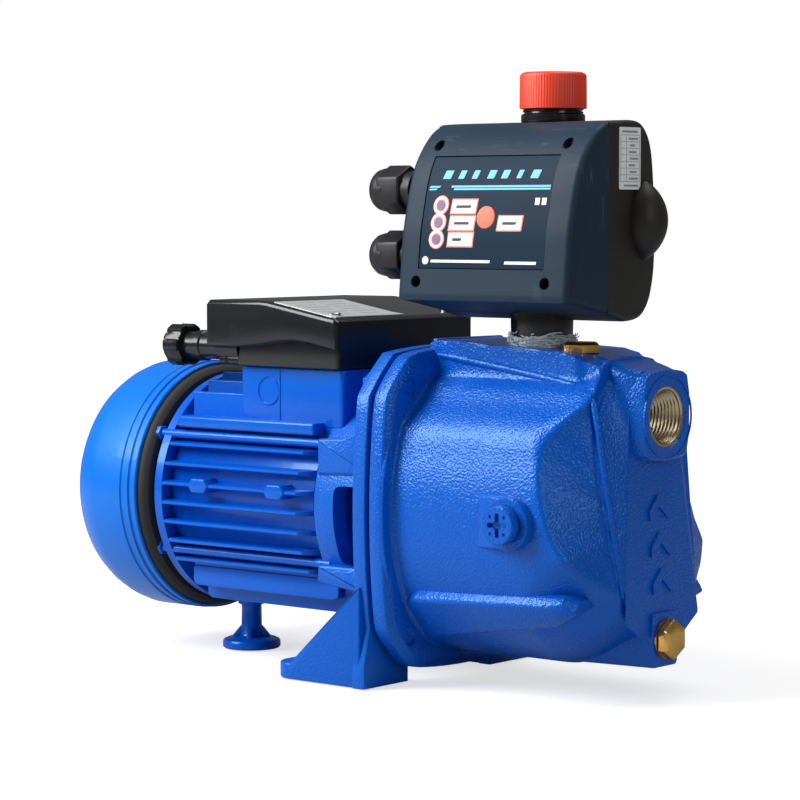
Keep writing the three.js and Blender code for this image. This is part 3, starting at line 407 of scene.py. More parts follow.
def drumRadius(x, angle):
    # superellipse, creased where two flat flanks meet, blended with the box of the top ridge
    c, s = np.abs(np.cos(angle)), np.sin(angle)
    power = casing["power"]
    oval = (c / casing["halfWidth"]) ** power + (np.abs(s) / casing["halfHeight"]) ** power
    radius = oval ** (-1 / power)
    degrees = np.degrees(np.abs(np.arctan2(s, c)))
    crest = np.where(s > 0, np.exp(-((degrees - 37) / 7.0) ** 2), 0)
    dip = np.where(s > 0, np.exp(-((degrees - 54) / 8.0) ** 2), 0)
    radius = radius + 1.5 * crest - 1.9 * dip
    top = np.interp(x, [3, 31, 59, 100, 116, 126], [194.6, 194.4, 192.6, 190.8, 187.0, 182.0]) - shaftZ
    half = np.interp(x, [0, 10, 20, 112, 124], [25, 29, 31, 31, 27])
    box = np.minimum(np.where(s > 0.05, top / np.maximum(s, 0.05), 999), half / np.maximum(c, 1e-4))
    box = np.where(s > 0.3, box, 0)
    k = casing["ridgeBlend"]
    h = np.clip(0.5 + 0.5 * (box - radius) / k, 0, 1)
    return radius * (1 - h) + box * h + k * h * (1 - h)


def panelReach(degrees):
    # distance from the shaft axis to the rim of the nose's flat panel, in the direction given
    corners = np.array([(0, 176), (20.6, 171), (24.8, 135), (35.4, 45), (21, 36), (0, 36)], float)
    corners[:, 1] -= shaftZ
    a, b = corners[:-1], corners[1:]
    ray = np.stack([np.cos(np.radians(degrees)), np.sin(np.radians(degrees))], 1)
    edge = b - a
    cross = ray[:, None, 0] * edge[:, 1] - ray[:, None, 1] * edge[:, 0]
    cross = np.where(np.abs(cross) < 1e-9, 1e-9, cross)
    dist = (a[:, 0] * edge[:, 1] - a[:, 1] * edge[:, 0]) / cross
    along = (a[:, 0] * ray[:, None, 1] - a[:, 1] * ray[:, None, 0]) / cross
    dist = np.where((along > -1e-6) & (along < 1 + 1e-6) & (dist > 0), dist, np.inf)
    return dist.min(1)


def joinedRun(corners, cuts, straight, curved):
    # straight runs joined by short parabolas; corners is (angles, k, 2), cuts is each parabola's half length
    parts = []
    steps = np.diff(corners, axis=1)
    length = np.maximum(np.linalg.norm(steps, axis=2, keepdims=True), 1e-6)
    unit = steps / length
    last = corners[:, :1]
    for i in range(1, corners.shape[1] - 1):
        cut = np.minimum(cuts[i], 0.46 * np.minimum(length[:, i - 1], length[:, i]))
        start = corners[:, i] - unit[:, i - 1] * cut
        end = corners[:, i] + unit[:, i] * cut
        t = np.linspace(0, 1, straight[i - 1], endpoint=False)[None, :, None]
        parts.append(last * (1 - t) + start[:, None] * t)
        t = np.linspace(0, 1, curved[i], endpoint=False)[None, :, None]
        parts.append((1 - t) ** 2 * start[:, None] + 2 * t * (1 - t) * corners[:, i, None]
                     + t**2 * end[:, None])
        last = end[:, None]
    t = np.linspace(0, 1, straight[-1])[None, :, None]
    parts.append(last * (1 - t) + corners[:, -1:] * t)
    return np.concatenate(parts, 1)


def casingShell():
    # half-plane profiles (x, distance from the shaft axis), one for each direction round the shaft
    degrees = np.r_[np.linspace(-90, 58, 118, endpoint=False), np.linspace(58, 80, 66, endpoint=False),
                    np.linspace(80, 90, 14)]
    at = lambda spots, values: np.interp(degrees, spots, values)
    # mouth: where the drum ends; bend: where its wall starts to lean; inner and outer: the nose's raised edge
    spots = [-90, -60, -46, -30, -15, -5, 8, 21, 30, 39, 48, 56, 63, 75, 90]
    mouthX = at(spots, [141, 143, 144.6, 138.5, 130.5, 122.8, 116.9, 112.8, 111.8, 114.4, 120.6, 127.6, 128.6,
                        126, 125])
    mouthR = at(spots, [64, 60, 53.5, 61.5, 69.3, 69.4, 70.2, 72.2, 74.2, 76.2, 77.6, 78.6, 80, 90, 90])
    bendX = at([-90, -46, -30, -15, -5, 8, 40, 62, 90], [104, 108, 112, 116, 116, 110, 108, 120, 118])
    spots = [-90, -60, -46, -30, -6, 18, 36, 50, 59, 75, 90]
    innerX = at(spots, [144, 144.6, 145, 141.5, 137.4, 134.4, 132, 130, 128, 127, 127])
    innerR = at(spots, [61, 57, 51.8, 45.6, 40.4, 43.8, 53, 64.5, 73, 83, 84])
    outerX = at(spots, [145, 145.6, 146, 144, 141, 138.2, 135.6, 133.4, 131, 129, 129])
    outerR = at(spots, [59, 55, 49, 41.5, 36.2, 39.4, 48.6, 60, 69, 80, 81])
    rim = panelReach(degrees)
    sine = np.sin(np.radians(degrees))
    panelAt = lambda r: casing["panelX"] + casing["panelTilt"] * (105 - shaftZ - r * sine)
    root = drumRadius(np.full_like(degrees, casing["front"]), np.radians(degrees))
    bend = drumRadius(bendX, np.radians(degrees))
    grooveX, grooveR = (innerX + outerX) / 2 - 0.9, (innerR + outerR) / 2 - 0.7
    zero = np.zeros_like(degrees)
    flare = np.clip((68 - degrees) / 8, 0.12, 1)  # the root's fillet dies out under the ridge
    corners = np.stack([
        np.stack([zero + 12, root + 8 * flare], 1),
        np.stack([zero + casing["front"] - 0.9, root + 7.4 * flare], 1),
        np.stack([zero + casing["front"] + 0.3, root], 1),
        np.stack([bendX, bend], 1),
        np.stack([mouthX, mouthR], 1),
        np.stack([innerX, innerR], 1),
        np.stack([grooveX, grooveR], 1),
        np.stack([outerX, outerR], 1),
        np.stack([panelAt(rim) - 0.2, rim], 1),
        np.stack([panelAt(rim * 0.2), rim * 0.2], 1),
    ], 1)
    low = np.clip((-degrees - 5) / 25, 0, 1)
    cuts = [0, 0.5, 5.5, 3 + 15 * low, 2.6 + 3 * low, 1.5, 0.8, 1.3, 1.1, 0]
    straight = [2, 2, 50, 10, 16, 2, 2, 10, 8]
    curved = [0, 3, 7, 9, 8, 6, 3, 6, 5, 0]
    run = joinedRun(corners, [np.reshape(c, (-1, 1)) if np.ndim(c) else c for c in cuts], straight, curved)
    x, radius = run[..., 0], run[..., 1]
    angle = np.radians(degrees)[:, None] + 0 * x
    # on the drum the radius follows the cross-section at every x, not the straight run between two of them
    onDrum = np.clip((x - casing["front"] - 5) / 3, 0, 1) * np.clip((bendX[:, None] - 2 - x) / 6, 0, 1)
    ideal = drumRadius(x, angle)
    radius = radius * (1 - onDrum) + ideal * onDrum
    y = radius * np.cos(angle)
    z = shaftZ + radius * np.sin(angle)
    half = np.stack([x, -y, z], -1)
    whole = np.concatenate([half, mirrorY(half[-2:0:-1])], 0)
    return np.transpose(whole, (1, 0, 2))


flange = {"sideY": 72.5, "sideZ": 65.0, "topY": 50.5, "topZ": 88.5, "bow": 0.033}


def bowedOutline(steps=14):
    # an irregular octagon whose eight sides swell outwards by a share of their length
    y1, z1, y2, z2 = (flange[key] for key in ("sideY", "sideZ", "topY", "topZ"))
    right = [(y2, -z2), (y1, -z1), (y1, z1), (y2, z2)]
    corners = np.array(right + [(-y, z) for y, z in right[::-1]], float)
    ahead = np.roll(corners, -1, 0) - corners
    t = np.linspace(0, 1, steps, endpoint=False)[None, :, None]
    swell = 4 * t * (1 - t) * flange["bow"]
    side = np.stack([ahead[:, 1], -ahead[:, 0]], 1)[:, None]
    line = corners[:, None] + ahead[:, None] * t + side * swell
    return line.reshape(-1, 2) + [0, shaftZ]


def softOutline():
    # the same octagon with its corners eased over a few points
    line = bowedOutline()
    for _ in range(2):
        line = (np.roll(line, 1, 0) + 2 * line + np.roll(line, -1, 0)) / 4
    return line


shell = skin("casingShell", casingShell(), castBlue, stands=["pump_casing"])
port = {"z": 155.6, "half": 23.0, "low": 131.7, "high": 181.5, "bore": 16.6}
portAxis = (0, 0, port["z"])
carve(shell, rod(16.3, 118.5, 162, "x", portAxis, 72))
rim = softOutline()
plateInsets = [(2.9, 1.2), (3.2, 0.35), (4.0, 0.0), (11.2, 0.0), (12.0, 0.25), (12.7, 0.9), (14.6, 4.2),
               (15.0, 5.4)]
plate = [station(x, offset(rim, s)) for x, s in plateInsets]
boltCentres = [(sy * 54.5, shaftZ + sz * 70.5) for sy in (-1, 1) for sz in (-1, 1)]
casingPlate = skin("casingPlate", np.array(plate), castBlue)
carve(casingPlate, *[rod((4.6, 5.2), 13.2, 15.6, "x", (0, y, z), 20) for y, z in boltCentres])


# left end of the ridge where it stands proud of the plate, a low wedge with a small bright face
ridgeStep = [(2.9, 22, 160, 192.2), (3.8, 23, 160, 193.0), (11, 24, 160, 193.6), (15.5, 26, 160, 194.6),
             (26, 30.6, 160, 194.2)]
skin("casingTopStep", lofted(ridgeStep, archway, [1, 1, 2, 2]), castBlue)

rail = {
    "x": [16, 24, 27, 121, 127.5, 133.5], "out": [60, 65.4, 66.2, 67.6, 66.4, 61.5],
    "top": [52, 55.2, 55.6, 59.6, 59.4, 56.5], "low": [24, 27, 28, 44, 48, 52],
    "under": [38, 44, 45, 61, 62, 59],
}


def railSection(out, top, low, under):
    # a ledge low on each flank: flat bright top, steep dark face, tapering to a point at the front
    return [(-38, top + 4), (-30, low + 6), (-under, low), (-out, top - 3.4), (-out + 4.5, top + 2.6)]


rails = lofted(zip(*rail.values()), railSection, [2, 2, 4, 2.6, 3])
skin("casingRails", [rails, mirrorY(rails)], castBlue)


def arched(half, low, high, rise):
    # a square whose top and bottom are shallow arches
    across = np.linspace(-half, half, 15)
    arch = (across / half) ** 2
    return np.concatenate([np.c_[across, low + rise * arch], np.c_[across[::-1], high - rise * arch[::-1]]])


def portBoss():
    outline = arched(port["half"], port["low"], port["high"], 3.2)
    for _ in range(2):
        outline = (np.roll(outline, 1, 0) + 4 * outline + np.roll(outline, -1, 0)) / 6
    return np.array([station(x, offset(outline, s)) for x, s in
                     [(112, 1.5), (126, 0.8), (149.2, 0), (150.2, 0.4), (150.7, 1.2)]])


boss = skin("portBoss", portBoss(), castBlue, crease=40)
mouth = [(0, 118), (port["bore"], 118), (port["bore"], 149.4), (port["bore"] + 1.2, 150.8), (0, 152)]
carve(boss, turned(mouth, "x", portAxis, 72))


def threadSleeve(radius, start, end, pitch, depth, sides=72):
    # a sleeve whose inner wall rises and falls with height minus angle, which is one long helical thread
    angle = np.linspace(0, 2 * np.pi, sides, endpoint=False)
    height = np.linspace(start, end, int((end - start) / pitch * 8))
    phase = (height[:, None] / pitch - angle[None, :] / (2 * np.pi)) % 1
    fade = np.clip((height - start) / 1.5, 0, 1) * np.clip((end - height) / 1.5, 0, 1)
    inner = radius - depth * (1 - np.abs(2 * phase - 1)) * fade[:, None]
    outer = np.full_like(angle, radius + 1.4)[None, :]
    walls = np.concatenate([inner, np.repeat(outer, 2, 0)], 0)
    heights = np.concatenate([height, [end, start]])
    return np.stack([walls * np.cos(angle), walls * np.sin(angle), heights[:, None] + 0 * walls], -1)


def closedRing(name, grid, material, crease=60, stands=()):
    # like skin(), but the last ring joins the first, as on a sleeve
    closed = np.concatenate([grid, grid[:1]], 0)
    piece = skin(name, closed, material, crease=crease, stands=stands)
    work = bmesh.new()
    work.from_mesh(piece.data)
    caps = [f for f in work.faces if len(f.verts) > 4]
    bmesh.ops.delete(work, geom=caps, context="FACES_ONLY")
    bmesh.ops.recalc_face_normals(work, faces=work.faces)
    work.to_mesh(piece.data)
    work.free()
    return piece


pipePitch = 2.309
closedRing("portThread", aim(threadSleeve(15.2, 121, 149.6, pipePitch, 1.25), "x") + portAxis, boreBrass)
skin("portFloor", rod(14.6, 119, 122, "x", portAxis, 40), boreBrass)
spotRing = [(22.2, 150.35), (22.2, 151.2), (22.9, 151.2), (22.9, 150.35)]
closedRing("portSpotRing", turned(spotRing, "x", portAxis, 72), castBlue)


def beadPath():
    # along the ridge's lower edge, down at the nose and along the nose's outer edge to the bottom
    spots = np.array([
        (16, -31.4, 186.6), (31, -31.2, 184.9), (52, -30.6, 181.8), (73, -30.6, 178.9), (95, -30.8, 175.4),
        (112, -31.6, 172.4), (121, -34.2, 169.6), (127, -37.4, 165.6), (130.4, -39.4, 160.4),
        (133, -39.8, 151), (135.2, -38.8, 132), (138, -37.2, 112), (140.8, -36, 93),
        (143.4, -35, 76), (145.4, -34.4, 60),
    ], float)
    at = np.r_[0, np.cumsum(np.linalg.norm(np.diff(spots, axis=0), axis=1))]
    fine = np.linspace(0, at[-1], 150)
    path = np.stack([np.interp(fine, at, spots[:, k]) for k in range(3)], 1)
    for _ in range(6):
        path[1:-1] = (path[:-2] + 2 * path[1:-1] + path[2:]) / 4
    return path


bead = beadPath()[None]
thickness = np.interp(np.linspace(0, 1, 150), [0, 0.06, 0.9, 1], [0.6, 2.3, 1.9, 1.0])[None]
beads = hoses(bead, thickness, 16)
skin("casingBeads", [beads[0], mirrorY(beads[0])], castBlue)


# a low rounded fairing carries the ridge over to the top of the port boss
fairing = [(104, 12, 150, 188.8), (110, 17, 150, 188.9), (117, 20, 150, 188.2), (124, 21.5, 150, 186.6),
           (131, 22, 150, 184.4), (138, 21.5, 150, 182.4), (144, 20, 150, 180.6)]
hump = skin("casingHump", lofted(fairing, archway, [1, 1, 6.5, 6.5]), castBlue, crease=50)
carve(hump, rod(16.4, 100, 162, "x", portAxis, 72))

# foot of the nose: a narrow rib under the drum that ends in the drain boss
keel = [(20, 16, 15.5, 40), (60, 14.5, 17.0, 40), (110, 13, 18.4, 46), (140, 12.2, 19, 50),
        (149.4, 12, 19.2, 49), (150, 11.4, 19.8, 48.4)]
skin("drainKeel", lofted(keel, archway, [2.4, 2.4, 4, 4]), castBlue)
fillerAxis = (97.5, 0, 99.6)
fillerBoss = [(0, -55), (15.4, -55), (14.8, -72), (14.4, -74.6), (13.6, -75.5), (6.6, -75.5), (6.4, -70),
              (0, -70)]
skin("fillerBoss", turned(fillerBoss, "y", fillerAxis, 56), castBlue)


def wedgeSection(half, out):
    # ramp behind the filler boss: its outer face climbs from the drum's wall to the boss's rim
    low, high = fillerAxis[2] - half, fillerAxis[2] + half
    return [(-50, low), (-50, high), (-out, high), (-out, low)]


wedge = [(70, 15.2, 66), (73, 15.0, 69.2), (76, 14.8, 70.6), (88, 14.5, 73.0), (97, 14.3, 74.8)]
skin("fillerWedge", lofted(wedge, wedgeSection, [1, 1, 2.2, 2.2]), castBlue)
print("casing done")


# ---- motor bracket with its feet

plateLine = bowedOutline(14)[14:14 * 6 + 1]  # without the two lowest sides
footEdges = [(-77, 13), (-77, 0), (-38.2, 0), (-38.2, 13), (38.2, 13), (38.2, 0), (77, 0), (77, 13)]
plateShape = np.concatenate([plateLine, footEdges])
bracketPlate = skin("bracketPlate", slab(plateShape, "x", -9, 0, 0.7), footBlue, stands=["motor_bracket"])
carve(bracketPlate, rod(16, -20, 5, "x", shaftAxis))
ringProfile = [(57, -1), (68, -1), (68, -43.5), (67.4, -45.6), (65.8, -46.8), (17.6, -47.0), (17.6, -39),
               (57, -39)]
lantern = closedRing("lantern", turned(ringProfile, "x", shaftAxis, 96), footBlue, crease=35)
windows = [block((-31, sy * 40 - 41, 66), (-11, sy * 40 + 41, 112), 5, 0, "y") for sy in (-1, 1)]
carve(lantern, *windows)


webHigh = [(-44, 117), (-6, 119), (-6, 145), (-26, 139), (-44, 138)]
webLow = [(-44, 56), (-6, 51), (-6, 66), (-44, 66)]
webs = [rounds(webHigh, 1.5, "y", -66.5, -48, 1.6), rounds(webLow, 1.5, "y", -66.5, -48, 1.6)]
gussetSide = [(-4, 3), (-4, 58), (-9, 53.5), (-53, 12.6), (-57, 8.2), (-57, 3)]
gusset = rounds(gussetSide, 2.0, "y", -76.85, -69, 0.9)
padTop = [(-3, -76.7), (-3, -38.3), (-62, -38.3), (-70.5, -46), (-70.5, -69), (-63, -76.7)]
pad = rounds(padTop, [1, 1, 7, 6, 6, 5], "z", 0.05, 9.5, 1.2)
halves = [*webs, gusset]
skin("bracketWebs", halves + [mirrorY(g) for g in halves], footBlue)
for side, grid, y in (("left", pad, -56), ("right", mirrorY(pad), 56)):
    footPad = skin(side + "FootPad", grid, footBlue)
    carve(footPad, block((-48, y - 5.5, -3), (-28, y + 5.5, 14), 5.4, 0))

for i, (y, z) in enumerate(boltCentres):
    head = slab(hexagon(13, 90), "x", -14.7, -9.4, 0.5, (0, y, z))
    end = turned([(0, -10), (3.9, -10), (3.9, 13.6), (3.3, 14.1), (0, 14.1)], "x", (0, y, z), 24)
    skin(f"bolt{i + 1}", [head, end], castBlue, stands=[f"flange_bolt_{i + 1}"])
print("bracket done")


# ---- motor

motor = {
    "back": -164.0, "front": -50.8, "shell": 62.0, "bore": 52.4, "fin": 71.6, "firstFin": 140.4, "pitch": 11.5,
}
back, front, outer, bore = (motor[key] for key in ("back", "front", "shell", "bore"))
barrel = [(bore, back), (outer - 1, back), (outer, back + 1), (outer, front), (bore, front)]
closedRing("motorShell", turned(barrel, "x", shaftAxis, 96), frameBlue, stands=["motor_frame"])


def sideFin(z):
    # tapered blade: root on the shell, tip on the fin circle, front end cut back at a slant
    tip = math.sqrt(motor["fin"] ** 2 - (z - shaftZ) ** 2)
    root = math.sqrt(motor["shell"] ** 2 - (z - shaftZ) ** 2) - 6
    rings = []
    for out, thick in [(root, 1.9), (tip - 3, 1.25), (tip - 0.7, 1.05), (tip, 0.5)]:
        cut = max(0, out - tip + 9)
        x0, x1 = motor["back"] + (1.5 if out > tip - 1 else 0), motor["front"] + 3.4 - cut
        low, high = z - thick, z + thick
        rings.append([(x0, -out, low), (x0, -out, high), (x1, -out, high), (x1, -out, low)])
    return np.array(rings, float)


fins = [sideFin(motor["firstFin"] - k * motor["pitch"]) for k in range(8)]
uprights = [(50, 54, 160.0, -155, -38.5), (38, 47, 166.4, -154.5, -40), (26, 34, 170.6, -154, -42)]
boards = [rounds(rectangle(x0, x1, low, high), 1.2, "y", -y - 1.6, -y + 1.6, 0.7)
          for y, low, high, x0, x1 in uprights]
skirtSide = [(-152, 44), (-43, 44), (-40, 46), (-40, 56), (-155, 56), (-155, 46)]
skirt = rounds(skirtSide, 1.5, "y", -52.5, -46, 0.8)
innerSide = [(-152, 35), (-40, 35), (-38, 37), (-38, 48), (-155, 48), (-155, 37)]
inner = rounds(innerSide, 1.5, "y", -40, -34, 0.8)
shoulder = rounds([(-158, -62), (-50.8, -62), (-50.8, -44), (-158, -44)], 1.5, "z", 139, 146, 1.4)
hexLug = [(-8.2, 0), (-5, 4.2), (5, 4.2), (8.2, 0), (5, -4.2), (-5, -4.2)]
lugZ = motor["firstFin"] - 3 * motor["pitch"]
lugs = [rounds([(x + a, lugZ + b) for a, b in hexLug], 0.8, "y", -72.2, -58, 0.9) for x in (-133, -73)]
halves = fins + boards + [skirt, inner, shoulder] + lugs
skin("motorFins", halves + [mirrorY(g) for g in halves], frameBlue)
pedestalShape = rounds(rectangle(-116.5, -36.6, -52, 52), 3.5, "z", 143, 176.5, 0.8)
knockOut = [(7.3, -52.0), (8.0, -52.7), (8.8, -52.0), (8.0, -51)]
closedRing("knockOut", turned(knockOut, "y", (-94, 0, 162.7), 40), frameBlue)
edgeLine = block((-86.2, -52.5, 146), (-84.8, -51, 176), 0.4, 0.3)
tailPad = block((-164, -16, 33), (-142, 16, 44), 3, 1.0)
tailBoss = rod((8.6, 8.2), 44, 33, "z", (-footReach, 0, 0), 32)
skin("pedestal", [pedestalShape, edgeLine, tailPad, tailBoss], frameBlue)
for k, (y, z) in enumerate([(sy * 58, h) for sy in (-1, 1) for h in (134.6, 65.6)]):
    tie = rod(2.6, -175.4, -40.4, "x", (0, y, z), 20)
    nut = slab(hexagon(8, 0), "x", -177.4, -173.4, 0.5, (0, y, z))
    skin(f"tieRod{k + 1}", [tie, nut], frameBlue, stands=[f"tie_rod_{k + 1}"])

cowl = {"r": 76.6, "rim": -180.7, "back": -245.6}
r, b, rimX = cowl["r"], cowl["back"], cowl["rim"]
cowlDome = [(0, b), (44, b), (52, b + 0.6), (59, b + 2.8), (65, b + 6.6), (69.6, b + 11.6), (73.2, b + 18),
            (75.4, b + 24), (r, b + 30)]
cowlGrooves = [(r, -193.2), (75.8, -192.6), (75.8, -189.6), (r, -189.0), (r, -186.6), (75.5, -186.0),
               (75.5, -183.8), (76.1, -183.4), (76.1, -181.3), (75.4, rimX), (74.4, rimX), (74.2, -190)]
cowlInside = [(74.2, b + 33), (73, b + 26), (70.8, b + 19), (67.4, b + 13), (63, b + 8.6), (57.6, b + 5),
              (51, b + 2.9), (44, b + 2.2), (0, b + 2.2)]
cowlProfile = cowlDome + cowlGrooves + cowlInside
fanCowl = skin("fanCowl", turned(cowlProfile, "x", shaftAxis, 120), cowlBlue, crease=26, stands=["fan_cover"])


def spun(grid, turn):
    c, s = math.cos(turn), math.sin(turn)
    y, z = grid[..., 1], grid[..., 2] - shaftZ
    return np.stack([grid[..., 0], y * c - z * s, y * s + z * c + shaftZ], -1)


vent = block((b - 5, 20, shaftZ - 3), (b + 7, 48, shaftZ + 3), 2.9, 0, "x")
vents = [spun(vent, (k + 0.5) * math.pi / 4) for k in range(8)]
carve(fanCowl, *vents)

# black ring inside the fan cowl's rim: painted shade for the dark gap between the cowl and the rear shield
shieldRim = [(58, -184), (74.0, -184), (74.0, -179), (72.6, -176.5), (70.4, -175), (58, -175)]
closedRing("shieldRim", turned(shieldRim, "x", shaftAxis, 96), rubberAndGapShade, crease=30)
shield = [(17.6, -180), (22, -180), (24, -172), (68.6, -171), (69.6, -170.4), (69.6, -164.6), (17.6, -164.6)]
closedRing("rearShield", turned(shield, "x", shaftAxis, 96), frameBlue, crease=30, stands=["rear_shield"])
stalkProfile = [(0, 0.1), (16.8, 0.1), (17.7, 1.0), (17.7, 4.0), (17.0, 5.2), (14.5, 6.3), (7.2, 7.2),
                (6.4, 8.5), (6.2, 26.2), (8.2, 27.2), (8.2, 31.8), (7.4, 32.6), (0, 32.6)]
footAxis = (-footReach, 0, 0)
stalk = turned(stalkProfile, "z", footAxis, 56)
blade = slab(rounded([(2, 5), (12.6, 5), (11.6, 7.4), (6.6, 13.5), (2, 13.5)], 0.8), "y", -1.2, 1.2, 0.4)
footWebs = []
for turn in range(4):
    c, s = math.cos(turn * math.pi / 2 + 0.6), math.sin(turn * math.pi / 2 + 0.6)
    across, out, up = blade[..., 0], blade[..., 1], blade[..., 2]
    footWebs.append(np.stack([across * c - out * s, across * s + out * c, up], -1) + footAxis)
skin("supportFoot", [stalk, *footWebs], frameBlue, stands=["support_foot"])
print("motor done")


# ---- terminal box

lidHalf = 62.5
lidSide = [(-135, 187.5), (-112, 187.8), (-92, 189.8), (-78, 192.2), (-66, 192.8), (-54, 191.6), (-40, 189.0),
           (-33, 187.5), (-33, 204.4), (-35.4, 206.3), (-40, 206.9), (-86, 214.9), (-92, 215.5),
           (-132.4, 215.3), (-135, 212.6)]
lidPiece = skin("terminalLid", slab(lidSide, "y", -lidHalf, lidHalf, 2.6, steps=5), glossBlack, crease=28,
                stands=["terminal_lid"])
screwSpots = [(x, s * 51) for s in (-1, 1) for x in (-124, -44)]
carve(lidPiece, *[rod((4.3, 4.6), 206.4, 222, "z", (x, y, 0), 28) for x, y in screwSpots])


def crossHead(centre, axis, low, high, radius, slot):
    # screw head with a cross recess, made as four quarters round a sunk cross
    angle = np.linspace(0, 2 * np.pi, 48, endpoint=False)
    arm = np.minimum(np.abs(np.cos(angle)), np.abs(np.sin(angle)))
    inside = np.where(arm < 0.28, radius * 0.62, radius * 0.2)
    ring = lambda r, h: np.stack([r * np.cos(angle), r * np.sin(angle), h + 0 * angle], 1)
    rings = [ring(radius, low), ring(radius, high - 0.4), ring(radius - 0.5, high), ring(inside, high),
             ring(inside * 0.9, high - slot), ring(inside * 0.1, high - slot)]
    return aim(np.array(rings), axis) * ([1, 1, 1] if axis != "y" else [1, -1, 1]) + centre


for k, (x, y) in enumerate(screwSpots):
    shank = rod(1.8, 192.4, 207, "z", (x, y, 0), 16)
    skin(f"lidScrew{k + 1}", [shank, crossHead((x, y, 0), "z", 206.9, 209.3, 3.7, 1.2)], bareSteel,
         stands=[f"lid_screw_{k + 1}"])
slope = lambda x: np.interp(x, [-92, -86, -40], [215.5, 214.9, 206.9])
plateSpan = np.linspace(-84, -37, 6)
plateY, plateRise = [-58, 3, 3, -58], np.array([-0.2, -0.2, 0.35, 0.35])
namePlate = [station(x, np.c_[plateY, slope(x) + plateRise]) for x in plateSpan]
skin("namePlate", np.array(namePlate), stickerSilver)
barRise = np.array([0, 0, 0.42, 0.42])
textBars = []
for y0, y1 in [(-54, -30), (-26, -4)]:
    for k in range(6):
        x = -79 + 6.4 * k
        ends = [y0, y1 - 5 * (k % 2), y1 - 5 * (k % 2), y0]
        textBars.append(np.array([station(px, np.c_[ends, slope(px) + barRise]) for px in (x, x + 0.8)]))
skin("namePlateBars", textBars, inkGrey)
baseBox = rounds(rectangle(-115, -36, -57, 57), 3, "z", 177, 200, 1.0)
tail = rounds(rectangle(-131, -110, -56.2, 56.2), 3, "z", 178, 181.6, 0.6)
posts = [rod((5.4, 5.0), 178, 204, "z", (x, s * 51, 0), 28) for s in (-1, 1) for x in (-124, -113)]
entryAxis = (0, -48, 187.5)
entry = rod((9.6, 10.2), -131, -114, "x", entryAxis, 40)
entryFoot = block((-129.4, -55.6, 178.4), (-114, -38, 187.5), 2, 0.6)
skin("terminalBox", [baseBox, tail, *posts, entry, entryFoot], glossBlack, stands=["terminal_box"])


def ribbedNut(centre, low, high, radius, bore, wings=6):
    # clamping nut whose outline is a circle with flat-topped wings
    angle = np.linspace(0, 2 * np.pi, 96, endpoint=False)
    wave = np.clip(1.9 * np.cos(wings * angle) + 0.35, 0, 1)
    outline = (radius - 1.7 * (1 - wave))[:, None] * circle(1, 96)
    levels = [(bore, low + 3), (bore, low), (radius * 0.72, low), (radius * 0.84, low + 0.7)]
    winged = [(0.93, low + 1.6), (1.0, low + 2.6), (1.0, high - 1), (0.96, high), (0.5, high)]
    rings = [station(h, circle(r, 96)) for r, h in levels] + [station(h, outline * s) for s, h in winged]
    return np.array(rings) + centre


neckProfile = [(0, -164), (8.2, -164), (8.2, -152), (9.2, -151), (9.2, -147), (8.2, -146), (8.2, -131),
               (0, -131)]
neck = turned(neckProfile, "x", entryAxis, 40)
skin("motorGland", [ribbedNut(entryAxis, -174.0, -160.5, 13.0, 5.4), neck], glossBlack, stands=["motor_gland"])
print("terminal box done")


# ---- flow controller

seam = -21.5
frontLine = np.array([(-60.0, 218.5), (-58.9, 229), (-57.8, 240), (-56.2, 256), (-53.9, 265.7), (-50.6, 280),
                      (-46.7, 291), (-41.6, 299), (-35.9, 306), (-30.3, 311.3), (-25.7, 314.0), (seam, 315.3)])
middleX = 66.5


def shellRings(outline, x0, x1, edge, flatY, steps=6):
    # rounded only on the outer rims: points that lie on the seam stay on it
    grid = slab(outline, "x", x0, x1, edge, steps=steps)
    line = np.array(outline)
    area = line[:, 0] @ np.roll(line[:, 1], -1) - line[:, 1] @ np.roll(line[:, 0], -1)
    line = line if area > 0 else line[::-1]
    grid[:, np.abs(line[:, 0] - flatY) < 0.01, 1] = flatY
    return grid


def smoothLine(points, passes=2, fine=5):
    # a finer line through the same points, eased a little
    at = np.r_[0, np.cumsum(np.linalg.norm(np.diff(points, axis=0), axis=1))]
    spots = np.linspace(0, at[-1], fine * len(points))
    line = np.stack([np.interp(spots, at, points[:, k]) for k in range(2)], 1)
    for _ in range(passes * 4):
        line[1:-1] = (line[:-2] + 2 * line[1:-1] + line[2:]) / 4
    return line


frontSmooth = smoothLine(frontLine)
frontOutline = np.concatenate([[(seam, 211.0), (-56, 217.6), (-59.2, 218.1)], frontSmooth[1:]])
faceY = lambda z: np.interp(z, frontSmooth[:, 1], frontSmooth[:, 0])
frontCover = skin("frontCover", shellRings(frontOutline, 9, 126.3, 3.6, seam), slateCover, crease=30,
                  stands=["controller_front"])


def facePatch(x0, x1, z0, z1, low, high, steps=12):
    # a sheet on the bowed face between two heights above it, as rings along X
    z = np.linspace(z0, z1, steps)
    section = np.concatenate([np.c_[faceY(z) - low, z], np.c_[faceY(z) - high, z][::-1]])
    return np.array([np.c_[np.full(len(section), x), section] for x in (x0, x1)])


def facePlate(outline, low, high):
    # a flat outline in (x, z) laid on the face between two heights above it
    outline = np.array(outline, float)
    centre = outline.mean(0)
    rings = []
    for share, h in [(1, low), (1, high), (0.66, high), (0.33, high), (0.02, high)]:
        spots = centre + (outline - centre) * share
        rings.append(np.stack([spots[:, 0], faceY(spots[:, 1]) - h, spots[:, 1]], 1))
    return np.array(rings)


coverWells = [(middleX + s * 44.3, z) for z in (228.3, 303.5) for s in (-1, 1)]
carve(frontCover, facePatch(23.2, 109.8, 235.4, 297.6, -1.6, 6),
      *[rod((3.4, 3.1), -70, -30.2, "y", (x, 0, z), 32) for x, z in coverWells])
skin("controlPanel", facePatch(23.7, 109.3, 235.9, 296.9, -1.4, -0.5), labelBlue, crease=40,
     stands=["control_panel"])

graphics = -0.45  # height of the printed sheet above the face
rise = 0.12


